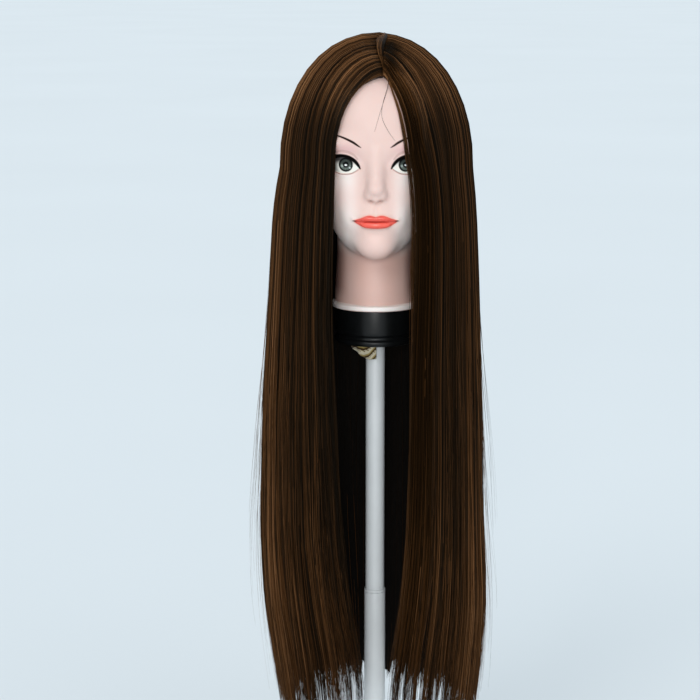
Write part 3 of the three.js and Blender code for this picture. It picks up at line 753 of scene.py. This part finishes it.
def head_skin():
    """The vinyl head: a fine painted skin over the lumps, with a wall at the neck."""
    grid, azimuth = skin_grid()
    rows, columns = grid.shape[:2]
    outer = grid.reshape(-1, 3)
    paint = Paint(outer)
    paint_skin(paint)
    paint_eyes(paint)
    paint_mouth(paint)
    away = outer - np.array([0, SKULL_MIDDLE[0], 0])
    away[:, 2] = 0
    outer = outer + unit(away) * lid_relief(outer)[:, None]

    # The rim turns under to the wall's inner edge and runs a little way up inside the neck.
    turn_under = [(45.4, 545.3), (44.6, 545.0), (41.8, 545.0), (41.2, 545.6), (40.2, 553), (39.2, 560)]
    inner = [[(r * np.sin(a), -r * np.cos(a), z) for a in azimuth] for r, z in turn_under]
    points = np.concatenate([outer, np.array(inner).reshape(-1, 3)])
    top = on_head(*(np.array([v]) for v in (SKULL_MIDDLE[1], 0.0, math.pi / 2)))
    lining_top = np.array([[0, NECK["setback"], 575.0]])
    points = np.concatenate([points, top, lining_top])
    total = rows + len(turn_under)
    faces = grid_faces(total, columns)
    here, after = np.arange(columns), (np.arange(columns) + 1) % columns
    crown = np.stack([np.full(columns, total * columns), after, here], 1)
    last = (total - 1) * columns
    lining = np.stack([np.full(columns, total * columns + 1), last + here, last + after], 1)
    skin = mesh_object("head_skin", points, np.concatenate([faces, crown, lining]), vinyl_material())
    spare = len(points) - len(outer)
    set_colours(skin, "paint", np.concatenate([paint.colour, np.tile(SKIN, (spare, 1))]))
    set_values(skin, "gloss", np.concatenate([paint.gloss, np.zeros(spare)]))
    u = np.tile((np.arange(columns) + 0.5) / columns, total)
    v = 1 - np.repeat((np.arange(total) + 0.5) / total, columns)
    set_uv(skin, np.concatenate([np.stack([u, v], 1), [[0.5, 1], [0.5, 0]]]))
    outward(skin)
    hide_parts("head_shell")
    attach(skin, "head")


# ---- Hair ---------------------------------------------------------------------------------
# Every strand starts on the parting (or, behind, at the crown), arches over the head to a ring at the
# spring height, and hangs from there, its place round the ring kept as a share of its section.

SPRING = 690.0
CROWN = HAIR_TOP - 4.0  # height of the outer strands on the crown
ROUNDNESS = 2.14  # of the arches; 2 would make them elliptical
FRONT_ROUNDNESS = 1.65  # of those next to the face, which meet at a point
PARTING_FALL = 78.0  # how steeply the parting falls from the crown to the hairline
PARTING_BOW = 5.0  # how far it bows towards -X on the way
EDGE_SPRING = {"left": 713.0, "right": 690.0, "back": SPRING}  # spring heights next to the face
SECTION_STRANDS, PIECE_STRANDS = 3150, 1050  # in a section of the wig, and the most in one piece
LOCKS = {"left": 21, "right": 21, "back": 24}
TUFTS_IN_LOCK = 9
DEEPEST = 15.0  # of the strands, under the wig's outer surface
LEAST_GAP = 3.4  # between the head and the strands
ARCH, HANG = 11, 20  # points of a strand over the head, and below the spring height
ALONG = np.linspace(0, 1, ARCH + HANG)
SOFTEN = np.linspace(-26, 26, 9)  # heights over which the outline's corners are averaged

# How high the tips end above HAIR_BOTTOM, in front and behind: the lowest of them, then how much the
# locks, tufts and strands add at random. A lock's sides end higher, so that it ends in a point.
TIPS = {"lowest": (-62, -14), "lock": (64, 16), "lock_side": (26, 8), "tuft": (20, 10), "strand": (13, 7)}

# How strongly strands lean towards the middle of their tuft, tufts towards the middle of their lock, and
# tufts towards it once more at the tips.
GATHER = {"tuft": 110, "lock": 40, "tips": 110}


def reach(z):
    """The hair's outline at heights z: reach to -X, +X, -Y and +Y."""
    z = np.asarray(z, float)[..., None] + SOFTEN
    return [np.interp(z, HAIR_OUTLINE[:, 0], HAIR_OUTLINE[:, i]).mean(-1) for i in range(1, 5)]


def hair_ring(z, azimuth, inset):
    """A point of the hair's outline at a height and azimuth, moved in by an inset."""
    left, right, front, back = reach(z)
    s, c = np.sin(azimuth), -np.cos(azimuth)
    power = 2 / SQUARENESS
    x = np.sign(s) * np.abs(s) ** power * (np.where(s < 0, left, right) - inset)
    y = np.sign(c) * np.abs(c) ** power * (np.where(c < 0, front, back) - inset)
    return np.stack([x, y, z], -1)


def edge_azimuths(section, z, inset):
    """The azimuths between which a section of hair hangs at heights z."""
    left, right, _, back = reach(z)
    power = SQUARENESS / 2
    behind = math.pi - np.arccos(np.clip(HAIR_SPLIT / (back - inset), 0, 1) ** power)
    if section == "back":
        return behind, 2 * math.pi - behind
    side, column, sign = (left, 1, -1) if section == "left" else (right, 2, 1)
    edge = np.interp(np.asarray(z, float)[..., None] + SOFTEN, WINDOW[:, 0], WINDOW[:, column]).mean(-1)
    start = np.arcsin(np.clip(edge / (side - inset), 0, 1) ** power)
    return sign * start, sign * behind


def parting_point(y):
    """The parting at y, between the hairline and the crown."""
    _, _, front, back = (float(r) for r in reach(SPRING))
    middle, half = (back - front) / 2, (back + front) / 2
    rise = np.sqrt(np.maximum(1 - ((y - middle) / half) ** 2, 0))
    x = PARTING - PARTING_BOW * np.sin(math.pi * (y - HAIRLINE) / (HAIR_SPLIT - HAIRLINE))
    return np.stack([x, y, CROWN - PARTING_FALL * (1 - rise)], -1)


def hair_paths(section, across, inset, bottom, sway=0.0, wander=0.0):
    """Centre lines of strands. across runs 0..1 round the section, inset is the depth under the outer
    surface, bottom the height of the tips, and sway and wander move each point round and inwards."""
    across, inset, bottom = (np.asarray(v, float)[:, None] for v in (across, inset, bottom))
    sway, wander = (v + np.zeros((len(across), ARCH + HANG)) for v in (sway, wander))
    start = mix(EDGE_SPRING[section], SPRING, smooth(across, 0, 0.35))
    share = np.clip(across, 0, 1) ** 0.9 if section != "back" else np.ones_like(across)
    root = parting_point(mix(HAIRLINE, HAIR_SPLIT, share))
    root[..., 2] -= 0.45 * inset
    low, high = edge_azimuths(section, start, inset)
    spring = hair_ring(start, mix(low, high, across), inset)

    # The arches are parts of one dome round the middle, though they start at the parting, beside it.
    pull = smooth(np.abs(spring[..., 0]), 20, 90)
    middle = root[..., 0] * (1 - pull)
    half = np.where(pull > 0, spring[..., 0] - middle, 1.0)
    first = root[..., 0] * pull / half
    front = smooth(across, 0.22, 0) if section == "left" else np.zeros_like(across)
    power = 2 / mix(ROUNDNESS, FRONT_ROUNDNESS, front)
    begin = np.sign(first) * np.arcsin(np.abs(first) ** (1 / power))
    turn = mix(begin, math.pi / 2, np.linspace(0, 1, ARCH)[None, :])
    fall = 1 - np.cos(turn) ** power
    slant = smooth(across, 0.35, 0) if section == "right" else 0.0
    sideways = (np.sign(turn) * np.abs(np.sin(turn)) ** power - first) / (1 - first)
    sideways = mix(sideways, fall ** 0.62, slant)
    over = np.stack([mix(root[..., 0], spring[..., 0], sideways), mix(root[..., 1], spring[..., 1], sideways),
                     mix(root[..., 2], start, fall)], -1)

    height = mix(start, bottom, np.linspace(0, 1, HANG + 1)[1:][None, :])
    depth = inset + wander[:, ARCH:]
    low, high = edge_azimuths(section, height, depth)
    left, right, _, _ = reach(height)
    shift = sway[:, ARCH:] / (0.5 * (left + right)) / np.abs(high - low)
    down = hair_ring(height, mix(low, high, across + shift), depth)
    return np.concatenate([over, down], 1)


def clear_of_head(points, gap, detailed=False):
    """Pushes points that come too near the head out along its surface's slope. The gap may differ by
    strand, and detailed says whether the head is taken with its features."""
    gap = np.broadcast_to(np.asarray(gap, float).reshape(-1, 1), points.shape[:2])
    for _ in range(5):
        distance = head_distance(points, detailed)
        near = distance < gap - 0.05
        if not near.any():
            break
        p = points[near]
        step = np.eye(3) * 0.5
        slope = np.stack([head_distance(p + e, detailed) - head_distance(p - e, detailed) for e in step], -1)
        points[near] = p + unit(slope) * (gap[near] - distance[near])[:, None]
    return points


def strand_mesh(name, lines, radii, shade, material):
    """Three-sided tapering tubes along lines (strands x steps x 3), with a shade for every point."""
    count, steps = lines.shape[:2]
    ahead = unit(np.gradient(lines, axis=1))
    outwards = lines - np.array([0, SKULL_MIDDLE[0], 0])
    outwards[..., 2] = 20.0
    across = unit(np.cross(ahead, outwards))
    over = np.cross(across, ahead)
    angles = np.arange(3) * 2 * math.pi / 3 + math.pi / 2
    rings = [lines + radii[..., None] * (math.cos(a) * across + math.sin(a) * over) for a in angles]
    tubes = np.stack(rings, 2).reshape(count, -1, 3)
    points = np.concatenate([tubes, lines[:, :1], lines[:, -1:]], 1)
    size, first, last = points.shape[1], steps * 3, (steps - 1) * 3
    ends = [[first, (i + 1) % 3, i] for i in range(3)]
    ends += [[first + 1, last + i, last + (i + 1) % 3] for i in range(3)]
    one = np.concatenate([grid_faces(steps, 3), np.array(ends)])
    faces = (one[None] + (np.arange(count) * size)[:, None, None]).reshape(-1, 3)
    piece = mesh_object(name, points.reshape(-1, 3), faces, material)
    tone = np.concatenate([np.repeat(shade, 3, axis=1), shade[:, :1], shade[:, -1:]], 1)
    set_values(piece, "shade", np.clip(tone, 0, 1).ravel())

    cells_high = 4  # each strand has a narrow cell of the UV square to itself
    cells_wide = math.ceil(count / cells_high)
    row, column = np.divmod(np.arange(count), cells_wide)
    side = np.concatenate([np.tile([-0.36, 0, 0.36], steps), [0, 0]])
    climb = np.concatenate([np.repeat(np.linspace(0, 1, steps), 3), [0, 1]])
    u = (column[:, None] + 0.5 + side[None, :]) / cells_wide
    v = (row[:, None] + 0.02 + 0.96 * climb[None, :]) / cells_high
    set_uv(piece, np.stack([u, v], -1).reshape(-1, 2))
    outward(piece)
    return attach(piece, "head")


def tip_fade(start=0.8):
    """The share of its width that a strand keeps: all at the root, a quarter at the tip."""
    return (1 - 0.75 * smooth(ALONG, start, 1.0))[None, :]


def section_strands(section, count, locks, material):
    """The strands of a section as pieces of about a thousand strands each. They gather in tufts, and the
    tufts in locks, that sway, lie at different depths and end at different heights together."""
    tufts = locks * TUFTS_IN_LOCK
    tuft_at = (np.arange(tufts) + DRAW.uniform(0.1, 0.9, tufts)) / tufts
    tuft = DRAW.integers(0, tufts, count)
    lock_of_tuft = np.minimum((tuft_at * locks + DRAW.uniform(-0.4, 0.4, tufts)).astype(int), locks - 1)
    lock = lock_of_tuft[tuft]
    across = np.clip(tuft_at[tuft] + DRAW.uniform(-0.9, 0.9, count) / tufts, -0.006, 1.006)
    inset = np.minimum(DRAW.exponential(3.0, count), DEEPEST) + DRAW.uniform(0, 2.4, tufts)[tuft]
    lock_middle = (np.arange(locks) + 0.5) / locks
    to_tuft, to_lock = tuft_at[tuft] - across, lock_middle[lock] - tuft_at[tuft]

    behind = behind_share(section, across)
    lowest, by_lock, by_side, by_tuft, by_strand = (mix(*pair, behind) for pair in TIPS.values())
    off_middle = np.abs(across - lock_middle[lock]) * 2 * locks
    bottom = HAIR_BOTTOM + lowest + by_lock * DRAW.uniform(0, 1, locks)[lock]
    bottom += by_side * np.minimum(off_middle, 1.3) ** 1.5
    bottom += by_tuft * DRAW.uniform(0, 1, tufts)[tuft] + by_strand * DRAW.exponential(1, count)
    bottom += 60 * smooth(inset, 3, 0) * DRAW.uniform(0, 1, count) ** 3  # some outer strands are shorter
    bottom = np.minimum(bottom, HAIR_BOTTOM + 150)

    settled = smooth(ALONG, 0.3, 0.9)[None, :]
    low, tip = smooth(ALONG, 0.62, 1.0)[None, :], smooth(ALONG, 0.84, 1.02)[None, :]
    sway = (waves(locks, ALONG, 4.0) * 2.6)[lock] + (waves(tufts, ALONG, 6.0) * 1.8)[tuft]
    sway = (sway + waves(count, ALONG, 5.0) * 1.7 + waves(count, ALONG, 24.0, 2) * 0.45) * settled
    hold = np.minimum(DRAW.uniform(0.0, 1.6, count), 1.0)  # how closely a strand keeps to its lock
    sway += low * (hold * (to_tuft * GATHER["tuft"] + to_lock * GATHER["lock"]))[:, None]
    sway += tip * (hold * to_lock * GATHER["tips"])[:, None]
    wander = waves(count, ALONG, 6.0) * 0.8 * settled
    wander += DRAW.uniform(-1.5, 5.0, tufts)[tuft][:, None] * low

    gap = LEAST_GAP + 0.07 * (DEEPEST + 2 - inset)
    lines = clear_of_head(hair_paths(section, across, inset, bottom, sway, wander), gap)
    radii = DRAW.uniform(0.22, 0.38, (count, 1)) * tip_fade()
    tone = DRAW.normal(0, 0.05, locks)[lock] + DRAW.normal(0, 0.07, tufts)[tuft]
    shade = strand_shades(lines, tone + DRAW.normal(0, 0.17, count))
    order = np.argsort(across, kind="stable")
    for number, part in enumerate(np.array_split(order, math.ceil(count / PIECE_STRANDS)), 1):
        strand_mesh(f"hair_{section}_strands_{number}", lines[part], radii[part], shade[part], material)


def behind_share(section, across):
    """0 in front, rising to 1 where the side hair meets the back hair, which hangs lower and more evenly."""
    return np.ones_like(across) if section == "back" else smooth(across, 0.5, 0.98)


def strand_shades(lines, offset):
    """Painted light and shade over each strand's own tone: darker round the face and in the hollow beside the
    whorl, where shade falls; lighter outside, more on the -X side where the light comes from, on the crown
    and towards the tips.
    """
    x, y, z = lines[..., 0], lines[..., 1], lines[..., 2]
    # Painted light: lighter away from the face, more on the -X side; lighter low down and on the crown.
    outer = smooth(np.abs(x), 50, 112) * mix(0.6, 1.0, smooth(x, 20, -20))
    low, top = smooth(z, 420, 150), smooth(z, 725, 790)
    # Painted shadow in the hollow beside the whorl.
    hollow = np.exp(-((x - 14) / 7) ** 2 - ((y + 46) / 20) ** 2) * smooth(z, 770, 790)
    spread = offset[:, None] * (1 + 0.7 * top)
    top = top * mix(0.75, 1.0, smooth(x, 20, -20))
    return 0.14 + spread + 0.24 * outer + 0.23 * low + 0.3 * top - 0.75 * hollow


def whorl(count, material):
    """A crescent lock that leaves the crown, bows across the parting and joins the right curtain."""
    across = DRAW.uniform(0.0, 0.12, count)
    inset = DRAW.uniform(-0.6, 0.8, count)
    bottom = HAIR_BOTTOM + DRAW.uniform(20, 90, count)
    lines = hair_paths("right", across, inset, bottom, waves(count, ALONG, 6.0) * smooth(ALONG, 0.3, 0.9))
    place = DRAW.uniform(0, 1, (count, 1))  # 0 is the crescent's outer edge, 1 its inner edge
    t = np.linspace(0, 1, 10)[None, :-1]  # from the crown to the hairline
    y = mix(5.0, lines[:, :1, 1], t) + DRAW.normal(0, 1.5, (count, 1)) * (1 - t)
    edge_t = np.linspace(0, 1, 5)
    outer_x = np.interp(t, edge_t, [8, 6.5, 0.3, -1.8, 6])
    inner_x = np.interp(t, edge_t, [9, 11.5, 9, 7, 9])
    x = mix(mix(outer_x, inner_x, place), lines[:, :1, 0], t ** 4)
    z = parting_point(y)[..., 2] + 0.2 + (2.0 - 1.4 * place) * np.sin(math.pi * t) ** 2
    gap = DRAW.uniform(4.4, 5.2, count)
    lines = clear_of_head(np.concatenate([np.stack([x, y, z], -1), lines], 1), gap)
    before = t.shape[1]
    thin = np.concatenate([np.ones((1, before)), tip_fade()], 1)
    shade = strand_shades(lines, DRAW.normal(0.0, 0.17, count))
    # Painted light and shade: the crescent's outer edge lighter, its inner edge darker.
    shade[:, :before] += 0.2 * smooth(place, 0.5, 0) - 0.35 * smooth(place, 0.55, 1)
    strand_mesh("hair_whorl", lines, DRAW.uniform(0.25, 0.36, (count, 1)) * thin, shade, material)


def cheek_lock(material):
    """A thin loose lock over the cheek on the right."""
    count = 30
    across = DRAW.choice([-0.038, -0.027, -0.017], count) + DRAW.normal(0, 0.004, count)
    drift = 5.0 * smooth(ALONG, 0.45, 0.6)[None, :] + waves(count, ALONG, 9.0) * 0.9
    inset, bottom = DRAW.uniform(0, 5, count), HAIR_BOTTOM + DRAW.uniform(20, 160, count)
    lines = clear_of_head(hair_paths("right", across, inset, bottom, drift), 1.5, detailed=True)
    radii = DRAW.uniform(0.16, 0.24, (count, 1)) * tip_fade()
    strand_mesh("hair_cheek_lock", lines, radii, strand_shades(lines, DRAW.normal(0.3, 0.1, count)), material)


def forehead_strands(material):
    """Two fine pairs of strands that fall from the parting across the forehead."""
    falls = [
        [(12, -76, 786), (12, -86, 777), (7, -91, 761), (3, -94, 748), (-1, -96, 734)],
        [(13, -76, 786), (11, -86, 776), (6.5, -91, 760), (6, -94, 748), (12, -95, 735), (19, -93, 725)],
    ]
    for number, fall in enumerate(falls, 1):
        line = np.array(curved(fall))
        along = np.linspace(0, 1, len(line))
        lines = line[None] + DRAW.normal(0, 0.4, (2, 1, 3)) * mix(0.2, 1, along)[None, :, None]
        radii = np.tile(0.17 * (1 - 0.7 * along ** 2), (2, 1))
        lines = clear_of_head(lines, 1.0, detailed=True)
        strand_mesh(f"hair_forehead_{number}", lines, radii, np.full(radii.shape, 0.1), material)


def flyaways(material):
    """Stray strands outside the curtains."""
    lines = []
    for section, count in (("left", 70), ("right", 60), ("back", 50)):
        out = DRAW.uniform(2, 15, (count, 1)) * smooth(ALONG, DRAW.uniform(0.4, 0.8, (count, 1)), 1.0)
        across, inset = DRAW.uniform(0.2, 0.95, count), DRAW.uniform(0, 1, count)
        bottom = HAIR_BOTTOM + DRAW.uniform(10, 260, count)
        sway = waves(count, ALONG, 5.0) * 3 * smooth(ALONG, 0.3, 1)[None, :]
        lines.append(hair_paths(section, across, inset, bottom, sway, -out))
    lines = np.concatenate(lines)
    radii = DRAW.uniform(0.13, 0.2, (len(lines), 1)) * tip_fade(0.6)
    shade = strand_shades(lines, DRAW.normal(0.15, 0.1, len(lines)))
    strand_mesh("hair_flyaways", lines, radii, shade, material)


def shell_faces(rows, count):
    """Triangles of a closed shell: rows loops of count points, with the two end loops filled across."""
    ends = []
    for start, flip in ((0, False), ((rows - 1) * count, True)):
        for i in range(count // 2 - 1):
            a, b, c, d = start + i, start + i + 1, start + count - 2 - i, start + count - 1 - i
            ends += [[a, b, c], [a, c, d]] if flip else [[a, c, b], [a, d, c]]
    return np.concatenate([grid_faces(rows, count), np.array(ends)])


def hair_mass(section, material):
    """The dense body of a section's hair under its strands, as one closed shell with ragged ends."""
    columns, thickness, under = 90, 10.4, 5.0  # under is the depth of its outer face in the wig
    side = section != "back"
    across = np.linspace(0.018 if side else 0.0, 1.0, columns)
    behind = behind_share(section, across)
    bottom = HAIR_BOTTOM + mix(72, 4, behind) + mix(34, 20, behind) * DRAW.uniform(0, 1, columns)
    outer = clear_of_head(hair_paths(section, across, np.full(columns, under), bottom), 2.4)
    inner = clear_of_head(hair_paths(section, across, np.full(columns, under + thickness), bottom), 1.9)
    if side:  # thin where it starts above the forehead, so that its end is not seen
        edge = smooth(across, 0.2, 0.02)[:, None] * smooth(ALONG, 0.5, 0.3)[None, :]
        outer = mix(outer, inner, 0.85 * edge[..., None])
    taper = smooth(ALONG, 0.86, 1.0)[None, :, None]
    middle = 0.5 * (outer + inner)
    outer, inner = mix(outer, middle, 0.85 * taper), mix(inner, middle, 0.85 * taper)
    loop = np.concatenate([outer, inner[:, ::-1]], 1)
    faces = shell_faces(columns, loop.shape[1])
    piece = mesh_object(f"hair_{section}_mass", loop.reshape(-1, 3), faces, material)
    outward(piece)
    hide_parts(f"hair_{section}")
    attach(piece, "head")


def wig():
    material, mass = hair_material("hair", 0.09), hair_mass_material()
    for section, locks in LOCKS.items():
        hair_mass(section, mass)
        section_strands(section, SECTION_STRANDS, locks, material)
    whorl(150, hair_material("hair_whorl", 0.01))
    cheek_lock(material)
    forehead_strands(material)
    flyaways(material)


# ---- Pole, cup and base -------------------------------------------------------------------

def tube_profile(node, bore):
    """Outline of a plain tube that fills a CAD node's height."""
    low, high = NODE_BOX[node]
    return [(bore, low[2]), (high[0], low[2]), (high[0], high[2]), (bore, high[2])]


def pole(paint):
    """Both tubes and the ring between them, which shows as the seam."""
    turned("upper_pole_tube", tube_profile("upper_tube", 9.1), paint, "upper_pole", "upper_tube", 0.5)
    turned("lower_pole_tube", tube_profile("lower_tube", 10.4), paint, "stand", "lower_tube", 0.3)
    turned("pole_guide_ring", tube_profile("pole_end_ring", 10.4), paint, "stand", "pole_end_ring", 0.5)


def cup(plastic):
    """The black cup: a smooth band, a shadow groove, and a rounded lip at the bottom."""
    low, high = NODE_BOX["base_cup"]
    bottom, shoulder, radius = low[2], 544.7, 42.2
    profile = [
        (19.9, bottom + 3.5), (33.6, bottom + 3.5), (36.4, bottom), (40.6, bottom), (42.8, bottom + 1.8),
        (42.8, bottom + 5.2), (39.6, bottom + 7), (39.6, bottom + 10), (42.0, bottom + 11.4),
        (radius, bottom + 14), (radius, shoulder), (37.4, shoulder), (37.4, high[2]), (35, high[2]),
        (35, bottom + 7.5), (19.9, bottom + 7.5),
    ]
    turned("base_cup_shell", profile, plastic, "head", "base_cup", 1.2)


def base(paint, plastic):
    """The spun cover of the base and the trim ring round the pole's foot."""
    low, high = NODE_BOX["base_cover"]
    radius, rim, top = high[0], low[2], high[2]
    cover = [
        (radius - 1.5, rim), (radius, rim), (radius, 13.5), (radius - 5, 19), (34, top), (5.6, top),
        (5.6, top - 1.5), (34, top - 1.5), (radius - 5.6, 17.5), (radius - 1.5, 13),
    ]
    turned("base_cover_shell", cover, paint, "stand", "base_cover", 3, segments=192)
    low, high = NODE_BOX["base_collar"]
    inner, radius, bottom, top = 11.5, high[0], low[2], high[2]
    collar = [(inner, bottom), (radius, bottom), (radius, bottom + 2), (16.8, bottom + 6),
              (15.9, top), (inner, top)]
    turned("base_collar_ring", collar, plastic, "stand", "base_collar", 1.4)


def packing():
    """The folded strip of striped cloth that wedges the cup onto the pole. It comes down inside the
    socket, flares, folds and tucks back up under the cup's floor; it shows at the front left."""
    inner, socket_bottom = 12.0, NODE_BOX["neck_socket"][0][2]
    angles = np.linspace(180, 273, 70)
    low_radius = np.interp(angles, [180, 205, 234, 273], [24.5, 21.5, 17.6, 13.6])
    low_height = np.interp(angles, [180, 205, 234, 250, 273], [502.5, 498.5, 491.8, 490.6, 491])
    columns, travelled = [], []
    for angle, r, z in zip(angles, low_radius, low_height):
        ripple = 0.5 * math.sin(math.radians(angle) * 15)
        path = np.array(curved([
            (inner, NODE_BOX["packing_cloth"][1][2] - 1), (inner, socket_bottom + 4),
            (mix(inner, r, 0.4), mix(socket_bottom - 1, z, 0.5)), (r + ripple, z),
            (r + 2.6 + ripple, z + 3), (r + 3.2, socket_bottom - 1)], steps=8))
        way = math.radians(angle)
        columns.append([(q * math.cos(way), q * math.sin(way), h) for q, h in path])
        travelled.append(np.concatenate([[0], np.cumsum(np.linalg.norm(np.diff(path, axis=0), axis=1))]))
    surface, travelled = np.array(columns), np.array(travelled)
    normal = unit(np.cross(np.gradient(surface, axis=0), np.gradient(surface, axis=1)))
    half = 0.5  # of the cloth's thickness
    loop = np.concatenate([surface + normal * half, (surface - normal * half)[:, ::-1]], 1)
    faces = shell_faces(len(angles), loop.shape[1])
    piece = mesh_object("folded_packing_strip", loop.reshape(-1, 3), faces, cloth_material())
    arc = np.radians(angles - angles[0]) * low_radius.mean()
    stripe = np.mod((arc[:, None] - 1.1 * travelled) / 9.5, 1.0)
    set_values(piece, "stripe", np.concatenate([stripe, stripe[:, ::-1]], 1).ravel())
    outward(piece)
    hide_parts("packing_cloth")
    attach(piece, "head")


def dress(materials):
    """Gives the CAD nodes that are kept as they are their finishes, alike for numbered ones."""
    for name, material in materials.items():
        for node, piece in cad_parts.items():
            if node == name or node.startswith(name + "_"):
                piece.data.materials.clear()
                piece.data.materials.append(material)


camera()
floor()
studio()

PAINT, PLASTIC, BLACK = pole_material(), grey_plastic_material(), cup_material()
STEEL = metal_material("fastener_steel", (150, 152, 155), (196, 198, 200), (0.26, 0.44), (1, 1, 0.05))
BRASS = metal_material("lock_brass", (168, 126, 60), (214, 176, 100), (0.24, 0.42), (1, 1, 8))
LACE = lace_material()
dress({
    "base_weight": iron_material(), "base_washer": STEEL, "base_bolt": STEEL, "pole_insert": STEEL,
    "cup_screw": STEEL, "foot": rubber_material(), "pole_top_plug": PLASTIC, "lock_stud": BRASS,
    "lock_cone": BRASS, "lock_sleeve": PLASTIC, "neck_socket": PLASTIC, "wig_cap": LACE, "weft": LACE,
})
pole(PAINT)
cup(BLACK)
base(PAINT, PLASTIC)
packing()
head_skin()
wig()
